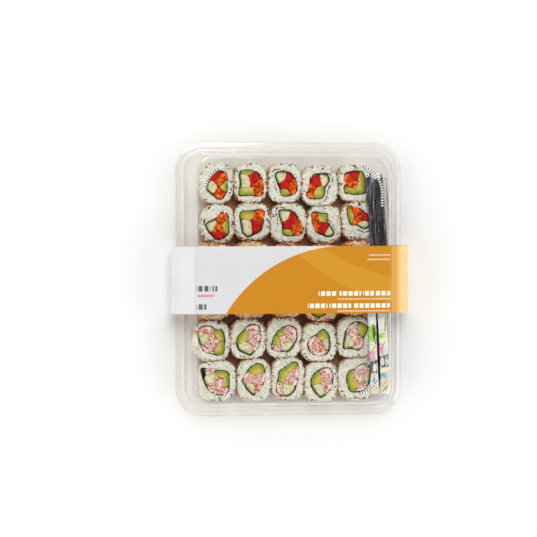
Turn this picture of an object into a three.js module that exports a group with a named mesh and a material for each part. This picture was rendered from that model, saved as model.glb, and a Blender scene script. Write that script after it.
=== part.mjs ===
// A takeaway sushi tray: a clear lidded tray of thirty inside-out rolls with two wrapped pairs of
// chopsticks and two sauce sachets, held shut by a card sleeve. Millimetres, +Z up, +Y along the tray.
import * as THREE from 'three';
import { mergeVertices } from 'three/addons/utils/BufferGeometryUtils.js';

// Driving dimensions.
const TRAY = { width: 229, length: 273, corner: 27 };
const WALL = 0.6;
const TOUCH_GAP = 0.3;

const SLEEVE = {
  card: 0.45,
  width: 67,
  height: 41.2,
  topHalf: 99.5,
  footHalf: 100,
  bulgeHalf: 120.5,
  bulgeAt: 20,
  // The side's section on its way up, as steps in x and z from the widest point.
  bulgeSteps: [[-6, -12], [-1.4, -6], [0, 0], [-1.6, 6], [-9.5, 13.5]],
  sidePoints: 14,
};
const BASE = {
  bottom: SLEEVE.card + TOUCH_GAP,
  flangeAt: 13,
  flangeEdge: 0.9,
  floorInset: 12.5,
  rimInset: 8.6,
  fillet: 2.5,
  turn: 0.7,
};
const LID = {
  flangeAt: BASE.flangeAt + WALL + TOUCH_GAP,
  top: SLEEVE.height - SLEEVE.card - 0.35,
  footInset: 8.6,
  shoulderInset: { x: 15.2, y: 12.4 },
  shoulderTurn: { inset: 0.8, drop: 0.9 },
  panelInset: { x: 17.8, y: 15 },
  shoulderDrop: 2.6,
};
const LINER = { thick: 0.4, halfX: 86, halfY: 106, corner: 10, bottom: BASE.bottom + WALL + TOUCH_GAP };

const ROLL = {
  bottom: LINER.bottom + LINER.thick + TOUCH_GAP,
  height: 21,
  squareness: 3,
  grain: 0.45,
  points: 20,
  gap: 0.2,
  // Rolls whose centres are closer than this press on each other, within these directions.
  pressReach: 62,
  pressFacing: 0.2,
};
// A roll's section: share of its height, drop below that, inset from its side, and bump height.
const ROLL_LEVELS = [
  { share: 0, drop: 0, inset: 1.8, rough: 0 },
  { share: 0, drop: -2, inset: 0.3, rough: 1 },
  { share: 0.38, drop: 0, inset: -0.3, rough: 1 },
  { share: 0.68, drop: 0, inset: -0.2, rough: 1 },
  { share: 1, drop: 1.8, inset: 0.2, rough: 1 },
  { share: 1, drop: 0, inset: 1.8, rough: 0.6 },
  { share: 1, drop: 0, inset: 6, rough: 0 },
  { share: 1, drop: 0.7, inset: 6.6, rough: 0 },
];
const COATED_ROWS = [3, 4];
// Centre x, centre y, width and length of each roll's cut face, row by row from the +Y end.
const ROLLS = [
  [
    [-74.25, 96, 35, 40], [-41, 96, 35, 39], [-5.5, 96, 34.5, 39],
    [29.5, 93.5, 38, 40], [65.5, 95.5, 34, 38.5],
  ],
  [
    [-73.25, 55.5, 33.5, 39], [-39, 58, 37.5, 38], [-2, 56, 38, 40],
    [34, 54.5, 37, 39], [68, 59, 34, 38.5],
  ],
  [
    [-77.5, 18, 38.5, 37.5], [-39, 19, 37, 38], [-1.5, 17.5, 37.5, 37],
    [34, 17, 36, 37.5], [67.5, 19.5, 35, 38],
  ],
  [
    [-78.5, -20.5, 38, 39], [-41, -19.5, 37, 38.5], [-4, -19, 37.5, 38],
    [31.5, -21.5, 36.5, 40], [66.5, -18, 35, 37.5],
  ],
  [
    [-78.9, -61, 36.25, 42], [-43, -59.5, 36.5, 40], [-6.5, -58.5, 37, 41.5],
    [29, -63.5, 37, 41], [65.5, -58.5, 37, 42.5],
  ],
  [
    [-74.25, -100, 39.5, 40.5], [-37, -100, 35.5, 42], [-2.5, -99, 34.5, 43.5],
    [31, -102, 35, 41.5], [68, -100, 40, 43],
  ],
];

const STICKS = {
  bottom: 23.9,
  thick: 4.4,
  crimp: 9,
  crimpThick: 0.9,
  crimpWidth: 0.9,
  squareness: 0.7,
  stations: 12,
  sides: 10,
};
// Plan positions of each wrapped pair from the +Y end down, with the width there.
const STICK_RUNS = {
  chopsticks_a: [[78.2, 107, 8.2], [84.7, 36, 8.2], [86.4, -110, 9.4]],
  chopsticks_b: [[87.8, 106, 9.4], [93.6, 36, 8.8], [95.4, -112, 7]],
};
const SACHET = {
  bottom: STICKS.bottom + STICKS.thick + TOUCH_GAP,
  length: 86,
  thick: 4.2,
  seal: 6,
  sealThick: 0.8,
  sealFlare: 0.8,
  shoulder: 5,
  fullAt: 22,
  squareness: 0.85,
  sides: 12,
  lean: THREE.MathUtils.degToRad(2.4),
  centreY: -72,
};
const SACHETS = {
  sachet_a: { x: 82.9, width: 8.4 },
  sachet_b: { x: 93.5, width: 9.6 },
};

const FINISHES = {
  clear: { color: 0xeef1f0, roughness: 0.12, metalness: 0, transparent: true, opacity: 0.35 },
  liner: { color: 0x7a4a34, roughness: 0.5, metalness: 0 },
  rice: { color: 0xe6e2d6, roughness: 0.55, metalness: 0 },
  coatedRice: { color: 0xd8a56c, roughness: 0.5, metalness: 0 },
  card: { color: 0xe8e8e6, roughness: 0.45, metalness: 0 },
  blackFilm: { color: 0x2a2a2e, roughness: 0.25, metalness: 0 },
  printedFilm: { color: 0xd8d6c4, roughness: 0.3, metalness: 0 },
};

// A repeatable stream of numbers from 0 to 1, so that every build has the same grain.
function seeded(seed) {
  let state = seed >>> 0;
  return () => {
    state = (Math.imul(state, 1664525) + 1013904223) >>> 0;
    return state / 4294967296;
  };
}

function mesh(name, geometry, finish) {
  const built = new THREE.Mesh(geometry, new THREE.MeshStandardMaterial(FINISHES[finish]));
  built.name = name;
  return built;
}

// Closes a stack of equal rings, each an array of Vector3 anticlockwise seen from +Z, into one body.
function loft(rings) {
  const count = rings[0].length;
  const positions = [];
  const put = (...corners) => corners.forEach((corner) => positions.push(corner.x, corner.y, corner.z));
  const middle = (ring) => ring.reduce((sum, p) => sum.add(p), new THREE.Vector3()).divideScalar(count);
  const first = rings[0];
  const last = rings[rings.length - 1];
  for (let i = 0; i < count; i += 1) {
    const next = (i + 1) % count;
    put(middle(first), first[next], first[i]);
    put(middle(last), last[i], last[next]);
    for (let level = 0; level + 1 < rings.length; level += 1) {
      const low = rings[level];
      const high = rings[level + 1];
      put(low[i], low[next], high[next]);
      put(low[i], high[next], high[i]);
    }
  }
  const geometry = new THREE.BufferGeometry();
  geometry.setAttribute('position', new THREE.Float32BufferAttribute(positions, 3));
  const welded = mergeVertices(geometry, 1e-4);
  welded.computeVertexNormals();
  return welded;
}

// One ring of a rounded rectangle between two heights of y, anticlockwise seen from +Z.
function roundedRing(halfX, lowY, highY, radius, z, cornerSteps = 7) {
  const ring = [];
  for (let corner = 0; corner < 4; corner += 1) {
    const centreX = (corner === 0 || corner === 3 ? 1 : -1) * (halfX - radius);
    const centreY = corner < 2 ? highY - radius : lowY + radius;
    for (let step = 0; step <= cornerSteps; step += 1) {
      const angle = (corner + step / cornerSteps) * (Math.PI / 2);
      ring.push(new THREE.Vector3(centreX + radius * Math.cos(angle), centreY + radius * Math.sin(angle), z));
    }
  }
  return ring;
}

// The same ring drawn in from the tray's outer edge.
function trayRing(insetX, insetY, z) {
  const halfY = TRAY.length / 2 - insetY;
  return roundedRing(TRAY.width / 2 - insetX, -halfY, halfY, TRAY.corner - (insetX + insetY) / 2, z);
}

// The shallow base: up the outside from the floor, out along the flange, and back down the inside.
function trayBase() {
  const floorTop = BASE.bottom + WALL;
  const outside = [
    [BASE.floorInset + BASE.fillet, BASE.bottom],
    [BASE.floorInset + BASE.turn, BASE.bottom + BASE.turn],
    [BASE.floorInset, BASE.bottom + BASE.fillet],
    [BASE.rimInset, BASE.flangeAt],
    [BASE.flangeEdge, BASE.flangeAt],
  ];
  const inside = [
    [BASE.flangeEdge, BASE.flangeAt + WALL],
    [BASE.rimInset + WALL, BASE.flangeAt + WALL],
    [BASE.floorInset + WALL, floorTop + BASE.fillet],
    [BASE.floorInset + WALL + BASE.turn, floorTop + BASE.turn],
    [BASE.floorInset + WALL + BASE.fillet, floorTop],
  ];
  return loft([...outside, ...inside].map(([inset, z]) => trayRing(inset, inset, z)));
}

// The domed lid: along the flange from its inner foot, up the outside to the panel, and back inside.
function lid() {
  const { flangeAt, top, footInset, shoulderInset, shoulderTurn, panelInset, shoulderDrop } = LID;
  const inner = [
    [panelInset.x + WALL, panelInset.y + WALL, top - WALL],
    [shoulderInset.x + WALL, shoulderInset.y + WALL, top - shoulderDrop - WALL / 2],
    [footInset + WALL, footInset + WALL, flangeAt + WALL],
    [footInset + WALL, footInset + WALL, flangeAt],
    [0, 0, flangeAt],
  ];
  const outer = [
    [0, 0, flangeAt + WALL],
    [footInset, footInset, flangeAt + WALL],
    [shoulderInset.x, shoulderInset.y, top - shoulderDrop],
    [shoulderInset.x + shoulderTurn.inset, shoulderInset.y + shoulderTurn.inset, top - shoulderTurn.drop],
    [panelInset.x, panelInset.y, top],
  ];
  const rings = [...outer.reverse(), ...inner.reverse()].map(([x, y, z]) => trayRing(x, y, z));
  return loft(rings.reverse());
}

// The brown sheet on the floor, under the rolls and short of their outer sides.
function floorLiner() {
  const { halfX, halfY, corner, bottom, thick } = LINER;
  return loft([bottom, bottom + thick].map((z) => roundedRing(halfX, -halfY, halfY, corner, z)));
}

// The sleeve's right-hand side as seen along +Y, from the foot crease up to the top crease.
function sleeveSide(inset) {
  const { footHalf, topHalf, bulgeHalf, bulgeAt, bulgeSteps, height, sidePoints } = SLEEVE;
  const bulge = bulgeSteps.map(([x, z]) => new THREE.Vector3(bulgeHalf + x - inset, bulgeAt + z, 0));
  const foot = new THREE.Vector3(footHalf, inset, 0);
  const crease = new THREE.Vector3(topHalf, height - inset, 0);
  const side = new THREE.CatmullRomCurve3([foot, ...bulge, crease], false, 'centripetal');
  return side.getPoints(sidePoints).map((p) => new THREE.Vector2(p.x, p.y));
}

function sleeve() {
  const loop = (inset) => {
    const right = sleeveSide(inset);
    const left = right.map((p) => new THREE.Vector2(-p.x, p.y)).reverse();
    return [...right, ...left];
  };
  const section = new THREE.Shape(loop(0));
  section.holes.push(new THREE.Path(loop(SLEEVE.card).reverse()));
  const band = new THREE.ExtrudeGeometry(section, { depth: SLEEVE.width, bevelEnabled: false });
  band.rotateX(Math.PI / 2);
  band.translate(0, SLEEVE.width / 2, 0);
  return band;
}

const clamp = (value, low, high) => Math.min(high, Math.max(low, value));

// Distance from a roll's centre to its side in one direction: a square with well rounded corners.
function rollReach(roll, angle) {
  const [, , width, length] = roll;
  const along = Math.abs((2 * Math.cos(angle)) / width) ** ROLL.squareness;
  const across = Math.abs((2 * Math.sin(angle)) / length) ** ROLL.squareness;
  return (along + across) ** (-1 / ROLL.squareness);
}

// The flat on which two pressed rolls meet, as a direction from the first and a distance along it.
function pressedFlat(roll, other) {
  const dx = other[0] - roll[0];
  const dy = other[1] - roll[1];
  const apart = Math.hypot(dx, dy);
  const angle = Math.atan2(dy, dx);
  const mine = rollReach(roll, angle);
  const theirs = rollReach(other, angle + Math.PI);
  return { angle, distance: (apart * mine) / (mine + theirs) - ROLL.gap };
}

// A roll's side in one direction at one level, pressed flat where its neighbours are.
function pressedReach(roll, flats, angle, inset, grain) {
  let reach = rollReach(roll, angle) - inset + grain;
  for (const flat of flats) {
    const facing = Math.cos(angle - flat.angle);
    if (facing > ROLL.pressFacing) {
      reach = Math.min(reach, (flat.distance - Math.max(inset, 0)) / facing);
    }
  }
  return reach;
}

// A roll standing on end: rice-grain bumps round the side, a rim of rice and the filling within.
function rollSolid(roll, flats, random) {
  const [centreX, centreY] = roll;
  const bump = (rough) => (random() * 2 - 1) * ROLL.grain * rough;
  const rings = ROLL_LEVELS.map(({ share, drop, inset, rough }) => {
    const z = ROLL.bottom + ROLL.height * share - drop;
    const ring = [];
    for (let i = 0; i < ROLL.points; i += 1) {
      const angle = (i / ROLL.points) * 2 * Math.PI;
      const reach = pressedReach(roll, flats, angle, inset, bump(rough));
      const x = centreX + reach * Math.cos(angle);
      const y = centreY + reach * Math.sin(angle);
      ring.push(new THREE.Vector3(x, y, z + bump(rough) / 2));
    }
    return ring;
  });
  return loft(rings);
}

function rolls() {
  const every = ROLLS.flat();
  const random = seeded(7);
  return ROLLS.flatMap((row, rowIndex) => row.map((roll, columnIndex) => {
    const apart = (other) => Math.hypot(other[0] - roll[0], other[1] - roll[1]);
    const near = every.filter((other) => other !== roll && apart(other) < ROLL.pressReach);
    const flats = near.map((other) => pressedFlat(roll, other));
    const finish = COATED_ROWS.includes(rowIndex + 1) ? 'coatedRice' : 'rice';
    return mesh(`roll_r${rowIndex + 1}c${columnIndex + 1}`, rollSolid(roll, flats, random), finish);
  }));
}

// Rings of a flat film wrap that runs down -Y: a soft oval in the middle, thin crimped ends.
function filmWrap(stations, { sides, squareness }) {
  const round = (value) => Math.sign(value) * Math.abs(value) ** squareness;
  return stations.map(({ x, y, z, width, thick }) => {
    const ring = [];
    for (let i = 0; i < sides; i += 1) {
      const angle = (i / sides) * 2 * Math.PI;
      const across = (width / 2) * round(Math.cos(angle));
      const up = (thick / 2) * round(Math.sin(angle));
      ring.push(new THREE.Vector3(x + across, y, z + up));
    }
    return ring;
  });
}

// A wrapped pair of chopsticks lying along the rolls' edge, wider at the handle end.
function chopsticks(run) {
  const path = new THREE.CatmullRomCurve3(run.map(([x, y, width]) => new THREE.Vector3(x, y, width)));
  const middle = STICKS.bottom + STICKS.thick / 2;
  const [topEnd, bottomEnd] = [run[0][1], run[run.length - 1][1]];
  const stations = path.getPoints(STICKS.stations).map(({ x, y, z: width }) => {
    const fromEnd = Math.min(topEnd - y, y - bottomEnd);
    const full = clamp(fromEnd / STICKS.crimp, 0, 1);
    const thick = THREE.MathUtils.lerp(STICKS.crimpThick, STICKS.thick, Math.sqrt(full));
    const narrowing = THREE.MathUtils.lerp(STICKS.crimpWidth, 1, full);
    return { x, y, z: middle, width: width * narrowing, thick };
  });
  return loft(filmWrap(stations, STICKS));
}

// A tall sachet with flat sealed ends that swells to a soft oval between them.
function sachet({ x, width }) {
  const { length, seal, sealThick, sealFlare, shoulder, fullAt, thick: fullThick } = SACHET;
  const middle = SACHET.bottom + fullThick / 2;
  const half = length / 2;
  const upper = [0, seal, seal + shoulder, fullAt];
  const lower = upper.map((along) => length - along).reverse();
  const stations = [...upper, half, ...lower].map((along) => {
    const fromEnd = Math.min(along, length - along);
    const full = clamp((fromEnd - seal) / (fullAt - seal), 0, 1);
    const thick = THREE.MathUtils.lerp(sealThick, fullThick, Math.sin((full * Math.PI) / 2));
    return { x: 0, y: half - along, z: 0, width: width - sealFlare * full, thick };
  });
  const body = loft(filmWrap(stations, SACHET));
  body.rotateZ(SACHET.lean);
  body.translate(x, SACHET.centreY, middle);
  return body;
}

const tray = new THREE.Group();
tray.add(mesh('tray_base', trayBase(), 'clear'));
tray.add(mesh('floor_liner', floorLiner(), 'liner'));
tray.add(...rolls());
tray.add(mesh('lid', lid(), 'clear'));
tray.add(mesh('sleeve', sleeve(), 'card'));
for (const [name, run] of Object.entries(STICK_RUNS)) {
  tray.add(mesh(name, chopsticks(run), 'blackFilm'));
}
for (const [name, place] of Object.entries(SACHETS)) {
  tray.add(mesh(name, sachet(place), 'printedFilm'));
}

export default tray;
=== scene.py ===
"""Looks of a shut takeaway sushi tray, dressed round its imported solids.

Lengths are in millimetres until a mesh is made, and every object sits at the frame's origin, so a
piece is placed by its mesh alone. +Y runs along the tray, +X across it, +Z up.
"""

from __future__ import annotations

import logging
import math
from dataclasses import dataclass, field
from enum import Enum
from typing import Sequence

import bpy
import numpy as np
from mathutils import Matrix, Vector

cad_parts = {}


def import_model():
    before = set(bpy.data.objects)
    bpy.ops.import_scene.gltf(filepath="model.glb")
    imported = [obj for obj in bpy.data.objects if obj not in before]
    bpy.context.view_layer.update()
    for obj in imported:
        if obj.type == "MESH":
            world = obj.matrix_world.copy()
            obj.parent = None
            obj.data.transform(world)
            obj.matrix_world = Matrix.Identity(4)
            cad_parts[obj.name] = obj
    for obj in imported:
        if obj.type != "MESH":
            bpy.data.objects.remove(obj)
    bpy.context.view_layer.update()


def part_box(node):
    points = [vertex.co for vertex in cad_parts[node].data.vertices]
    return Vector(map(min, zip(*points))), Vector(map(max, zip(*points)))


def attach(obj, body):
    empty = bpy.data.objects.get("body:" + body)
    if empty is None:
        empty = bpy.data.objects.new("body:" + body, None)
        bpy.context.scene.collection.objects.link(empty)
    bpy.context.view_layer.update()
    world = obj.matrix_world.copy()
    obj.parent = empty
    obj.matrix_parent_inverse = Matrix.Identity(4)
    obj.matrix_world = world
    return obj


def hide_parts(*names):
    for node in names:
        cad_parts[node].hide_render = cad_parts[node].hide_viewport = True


LOG = logging.getLogger("sushi_tray")
METRE = 0.001
FULL_TURN = 2 * math.pi
Array = np.ndarray
Colour = tuple[float, float, float]
SectionRow = tuple[float, float, float, float]
Socket = bpy.types.NodeSocket
Material = bpy.types.Material


def paint(red: int, green: int, blue: int) -> Colour:
    """Turn a colour chosen on the 0 to 255 scale, as it shows on a screen, into linear light."""
    shares = (channel / 255 for channel in (red, green, blue))
    return tuple(s / 12.92 if s <= 0.04045 else ((s + 0.055) / 1.055) ** 2.4 for s in shares)


def in_millimetres(box: Sequence[Sequence[float]]) -> list[Array]:
    """Return a box's two corners, given in metres, in millimetres."""
    return [np.array(corner) / METRE for corner in box]


# ------ curves and flat shapes


class Ripple:
    """A smooth, repeatable unevenness: waves of about one length in many directions."""

    def __init__(self, seed: int, length: float, waves: int = 8) -> None:
        """Choose the waves.

        Args:
            seed: Picks the waves, the same ones for the same seed.
            length: The usual distance between two crests.
            waves: How many waves are added up.
        """
        draw = np.random.default_rng(seed)
        ways = draw.normal(size=(waves, 3))
        ways /= np.linalg.norm(ways, axis=1, keepdims=True)
        self._ways = ways * (FULL_TURN / length) * draw.uniform(0.65, 1.5, (waves, 1))
        self._starts = draw.uniform(0, FULL_TURN, waves)

    def at(self, points: Array) -> Array:
        """Return the height of the ripple at each point, from about -1 to 1."""
        phases = points @ self._ways.T + self._starts
        return np.sin(phases).sum(axis=1) / math.sqrt(len(self._starts) * 2)


def closed_curve(knots: Array, count: int) -> Array:
    """Draw a smooth closed curve through a few points.

    Args:
        knots: The points, one to a row, in order round the curve.
        count: How many points the curve gets.

    Returns:
        The curve's points, evenly spaced along it.
    """
    total = len(knots)
    spans = [smooth_span([knots[(i + k) % total] for k in (-1, 0, 1, 2)], 16) for i in range(total)]
    return even_loop(np.concatenate(spans), count)


def smooth_span(knots: Sequence[Array], steps: int) -> Array:
    """Draw a smooth span between the middle two of four knots.

    Args:
        knots: The knot before the span, its start, its end and the knot after it.
        steps: How many points the span gets, its end left out.

    Returns:
        The span's points.
    """
    before, here, there, after = knots
    share = (np.arange(steps) / steps)[:, None]
    return (
        here
        + 0.5 * share * (there - before)
        + share**2 * (before - 2.5 * here + 2 * there - 0.5 * after)
        + share**3 * (1.5 * (here - there) + 0.5 * (after - before))
    )


def even_loop(points: Array, count: int) -> Array:
    """Space a closed loop's points evenly along it.

    Args:
        points: The loop, one point to a row, without a repeated last point.
        count: How many points to return.

    Returns:
        The evenly spaced points.
    """
    shut = np.vstack([points, points[:1]])
    travelled = np.concatenate([[0], np.cumsum(np.linalg.norm(np.diff(shut, axis=0), axis=1))])
    wanted = np.linspace(0, travelled[-1], count, endpoint=False)
    return np.column_stack([np.interp(wanted, travelled, shut[:, k]) for k in range(shut.shape[1])])


def cut_by_line(loop: Array, normal: Array, distance: float) -> Array:
    """Keep the part of a flat loop that lies behind a line.

    Args:
        loop: The loop's corners, one to a row.
        normal: The direction the line faces.
        distance: How far along that direction the line lies.

    Returns:
        The corners of what is left, or none.
    """
    kept = []
    heights = loop @ normal - distance
    for i, height in enumerate(heights):
        nxt = (i + 1) % len(loop)
        if height <= 0:
            kept.append(loop[i])
        if (height < 0) != (heights[nxt] < 0):
            share = height / (height - heights[nxt])
            kept.append(loop[i] + share * (loop[nxt] - loop[i]))
    return np.array(kept).reshape(-1, 2)


def share_out(loop: Array, sites: Array, gap: float) -> list[Array]:
    """Split a flat loop among sites, each point going to the nearest one.

    Args:
        loop: The loop's corners.
        sites: One site to a row.
        gap: The bare width left between two shares.

    Returns:
        One loop for each site, empty where nothing is left to it.
    """
    shares = []
    for i, site in enumerate(sites):
        share = loop
        for k, other in enumerate(sites):
            if k == i or not len(share):
                continue
            way = other - site
            apart = np.linalg.norm(way)
            way = way / apart
            share = cut_by_line(share, way, float((site + other) @ way) / 2 - gap / 2)
        shares.append(share)
    return shares


def ray_reach(loop: Array, centre: Array, angles: Array) -> Array:
    """Measure how far a loop lies from a centre in each direction.

    Args:
        loop: The loop's corners, which wind round the centre.
        centre: The point measured from.
        angles: The directions, in radians.

    Returns:
        The distance for each direction.
    """
    start = loop - centre
    run = np.roll(start, -1, axis=0) - start
    ways = compass(angles)
    across = ways[:, None, 0] * run[None, :, 1] - ways[:, None, 1] * run[None, :, 0]
    across = np.where(np.abs(across) < 1e-9, 1e-9, across)
    out = (start[None, :, 0] * run[None, :, 1] - start[None, :, 1] * run[None, :, 0]) / across
    along = (start[None, :, 0] * ways[:, None, 1] - start[None, :, 1] * ways[:, None, 0]) / across
    hit = (along >= -1e-6) & (along <= 1 + 1e-6) & (out > 0)
    return np.where(hit, out, 0).max(axis=1)


def signed_area(loop: Array) -> float:
    """Return the area inside a flat loop, less than zero if the loop winds clockwise."""
    x, y = loop[:, 0], loop[:, 1]
    return float(x @ np.roll(y, -1) - y @ np.roll(x, -1)) / 2


def anticlockwise(loop: Array) -> Array:
    """Return a flat loop, turned round if it winds clockwise."""
    return loop[::-1] if signed_area(loop) < 0 else loop


def compass(angles: Array, *heights: Array) -> Array:
    """Return the direction at each angle, in x and y, with any heights as a third column."""
    return np.column_stack([np.cos(angles), np.sin(angles), *heights])


def squared(angles: Array, across: float, up: float) -> tuple[Array, Array]:
    """Return a circle's two coordinates at each angle, pushed out to a softened square by two powers."""
    x, y = np.cos(angles), np.sin(angles)
    return np.sign(x) * np.abs(x) ** across, np.sign(y) * np.abs(y) ** up


def inside(loop: Array, points: Array) -> Array:
    """Tell which points lie inside a flat loop.

    Args:
        loop: The loop's corners.
        points: The points to test, one to a row.

    Returns:
        True for each point that is inside.
    """
    x, y = points[:, 0:1], points[:, 1:2]
    x0, y0 = loop[:, 0], loop[:, 1]
    x1, y1 = np.roll(x0, -1), np.roll(y0, -1)
    spans = (y0 > y) != (y1 > y)
    rise = np.where(y1 == y0, 1e-9, y1 - y0)
    crossings = spans & (x < (x1 - x0) * (y - y0) / rise + x0)
    return crossings.sum(axis=1) % 2 == 1


def scattered_grid(
    low: Sequence[float], high: Sequence[float], spacing: float, draw: np.random.Generator
) -> Array:
    """Place points over a flat box in staggered rows, each nudged at random.

    Args:
        low: The box's low corner.
        high: The box's high corner.
        spacing: The distance between neighbours.
        draw: Where the nudges come from.

    Returns:
        One point to a row.
    """
    rows = np.arange(low[1], high[1] + spacing, spacing * 0.87)
    columns = np.arange(low[0], high[0] + spacing, spacing)
    x, y = np.meshgrid(columns, rows)
    x = x + (np.arange(len(rows)) % 2)[:, None] * spacing / 2
    points = np.column_stack([x.ravel(), y.ravel()])
    return points + draw.uniform(-0.3, 0.3, points.shape) * spacing


# ------ meshes


class Draft:
    """One piece in the making: its points and faces in millimetres, with a finish for each face."""

    def __init__(self, name: str) -> None:
        """Start an empty piece with this name."""
        self.name = name
        self._points: list[Array] = []
        self._corners: list[Array] = []
        self._sizes: list[Array] = []
        self._slots: list[Array] = []
        self._smooth: list[Array] = []
        self._fields: dict[str, list[tuple[int, Array]]] = {}
        self._materials: list[Material] = []
        self._count = 0

    def add(
        self,
        points: Array,
        faces: Sequence[Array],
        material: Material,
        smooth: bool = True,
        **fields: Array,
    ) -> None:
        """Add a shape to the piece.

        Args:
            points: The shape's points, one to a row.
            faces: Arrays of faces, each array holding faces with one number of corners.
            material: The finish on these faces.
            smooth: Whether the faces are shaded as one smooth surface.
            **fields: Values at each point that the finish reads by name.
        """
        if material not in self._materials:
            self._materials.append(material)
        slot = self._materials.index(material)
        for group in faces:
            if not len(group):
                continue
            self._corners.append((group + self._count).ravel())
            self._sizes.append(np.full(len(group), group.shape[1]))
            self._slots.append(np.full(len(group), slot))
            self._smooth.append(np.full(len(group), smooth))
        for name, values in fields.items():
            self._fields.setdefault(name, []).append((self._count, np.asarray(values, dtype=float)))
        self._points.append(np.asarray(points, dtype=float))
        self._count += len(points)

    def scatter(
        self, kernel: Kernel, material: Material, places: Array, axes: Array, **fields: Array
    ) -> None:
        """Add copies of a small shape to the piece.

        Args:
            kernel: The shape.
            material: The finish on it.
            places: Where each copy's middle goes.
            axes: Each copy's three axes, scaled, as the rows of a 3 by 3 array.
            **fields: A value for each copy that the finish reads by name.
        """
        points, faces = kernel.shape()
        step = len(points)
        spread = (np.einsum("pk,gkd->gpd", points, axes) + places[:, None, :]).reshape(-1, 3)
        starts = (np.arange(len(places)) * step)[:, None, None]
        faces = [(group[None] + starts).reshape(-1, group.shape[1]) for group in faces]
        self.add(spread, faces, material, **{name: np.repeat(row, step) for name, row in fields.items()})

    def finish(self, slot: str, replaced: Sequence[str] = ()) -> bpy.types.Object:
        """Make the Blender object and place it in the frame.

        Args:
            slot: The record's material slot that the piece belongs to; not used.
            replaced: The solids that the piece stands for.

        Returns:
            The finished object.
        """
        mesh = bpy.data.meshes.new(self.name)
        corners = np.concatenate(self._corners)
        sizes = np.concatenate(self._sizes)
        mesh.vertices.add(self._count)
        mesh.vertices.foreach_set("co", (np.concatenate(self._points) * METRE).ravel())
        mesh.loops.add(len(corners))
        mesh.loops.foreach_set("vertex_index", corners)
        mesh.polygons.add(len(sizes))
        mesh.polygons.foreach_set("loop_start", np.concatenate([[0], np.cumsum(sizes)[:-1]]))
        mesh.polygons.foreach_set("material_index", np.concatenate(self._slots))
        mesh.polygons.foreach_set("use_smooth", np.concatenate(self._smooth))
        for name, parts in self._fields.items():
            values = np.zeros(self._count)
            for start, part in parts:
                values[start : start + len(part)] = part
            layer = mesh.attributes.new(name, "FLOAT", "POINT")
            layer.data.foreach_set("value", values)
        for material in self._materials:
            mesh.materials.append(material)
        mesh.update(calc_edges=True)
        mesh.validate()
        built = bpy.data.objects.new(self.name, mesh)
        bpy.context.scene.collection.objects.link(built)
        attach(built, "root")
        if replaced:
            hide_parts(*replaced)
        LOG.info("%s: %d faces", self.name, len(sizes))
        return built


@dataclass(frozen=True)
class Stack:
    """Equal rings of points, one above another, that are skinned into a closed surface."""

    rings: Array

    @property
    def points(self) -> Array:
        """All points, ring after ring."""
        return self.rings.reshape(-1, 3)

    def sides(self, joined: bool = False, levels: slice = slice(None)) -> Array:
        """Skin neighbouring rings with four-cornered faces.

        Args:
            joined: Whether the last ring is joined back to the first.
            levels: Which gaps between rings are skinned.

        Returns:
            The faces.
        """
        layers, count = self.rings.shape[:2]
        gaps = np.arange(layers if joined else layers - 1)[levels]
        around = np.arange(count)
        low = gaps[:, None] * count
        high = ((gaps + 1) % layers)[:, None] * count
        nxt = (around + 1) % count
        return np.stack([low + around, low + nxt, high + nxt, high + around], axis=-1).reshape(-1, 4)

    def cap(self, ring: int) -> Array:
        """Close one end with one many-cornered face.

        Args:
            ring: 0 for the first ring, -1 for the last one.

        Returns:
            The face.
        """
        layers, count = self.rings.shape[:2]
        around = np.arange(count)
        return around[::-1][None, :] if ring == 0 else (around + (layers - 1) * count)[None, :]


def capped(rings: Array) -> tuple[Array, list[Array]]:
    """Skin rings, anticlockwise seen from the last one's side, and close both ends."""
    stack = Stack(rings)
    return stack.points, [stack.sides(), stack.cap(0), stack.cap(-1)]


@dataclass(frozen=True)
class Kernel:
    """A small rounded shape, such as a grain or a seed, lying along its own first axis."""

    stations: tuple[float, ...]
    radii: tuple[float, ...]
    sides: int
    bend: float = 0.0

    def shape(self) -> tuple[Array, list[Array]]:
        """Make the shape, half a unit to each side of its middle.

        Returns:
            Its points and its faces.
        """
        angles = np.arange(self.sides) / self.sides * FULL_TURN
        rings = []
        for along, radius in zip(self.stations, self.radii):
            arch = self.bend * (0.25 - along * along)
            rings.append([[along, radius * math.cos(a) + arch, radius * math.sin(a)] for a in angles])
        stack = Stack(np.array(rings))
        around = np.arange(self.sides)
        nxt = (around + 1) % self.sides
        first, last = 2, 2 + (len(rings) - 1) * self.sides
        fans = np.vstack([
            np.column_stack([np.zeros_like(around), first + nxt, first + around]),
            np.column_stack([np.ones_like(around), last + around, last + nxt]),
        ])
        return np.vstack([[[-0.5, 0, 0], [0.5, 0, 0]], stack.points]), [fans, stack.sides() + first]


def turned_axes(ways: Array, ups: Array, size: Array) -> Array:
    """Build scaled axes for copies that lie along ways on a surface facing ups.

    Args:
        ways: The direction each copy lies along, roughly.
        ups: The direction each copy's surface faces.
        size: Each copy's length, width and height.

    Returns:
        One 3 by 3 array for each copy.
    """
    ups = ups / np.linalg.norm(ups, axis=1, keepdims=True)
    ways = ways - (ways * ups).sum(axis=1, keepdims=True) * ups
    ways = ways / np.linalg.norm(ways, axis=1, keepdims=True)
    sides = np.cross(ups, ways)
    return np.stack([ways, sides, ups], axis=1) * size[:, :, None]


# ------ finishes


@dataclass(frozen=True)
class Mark:
    """A plain oval on a print: its middle and half sizes in millimetres, first down and then across."""

    middle: tuple[float, float]
    half: tuple[float, float]
    colour: Colour
    lean: float = 0.0
    strength: float = 0.92


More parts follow.
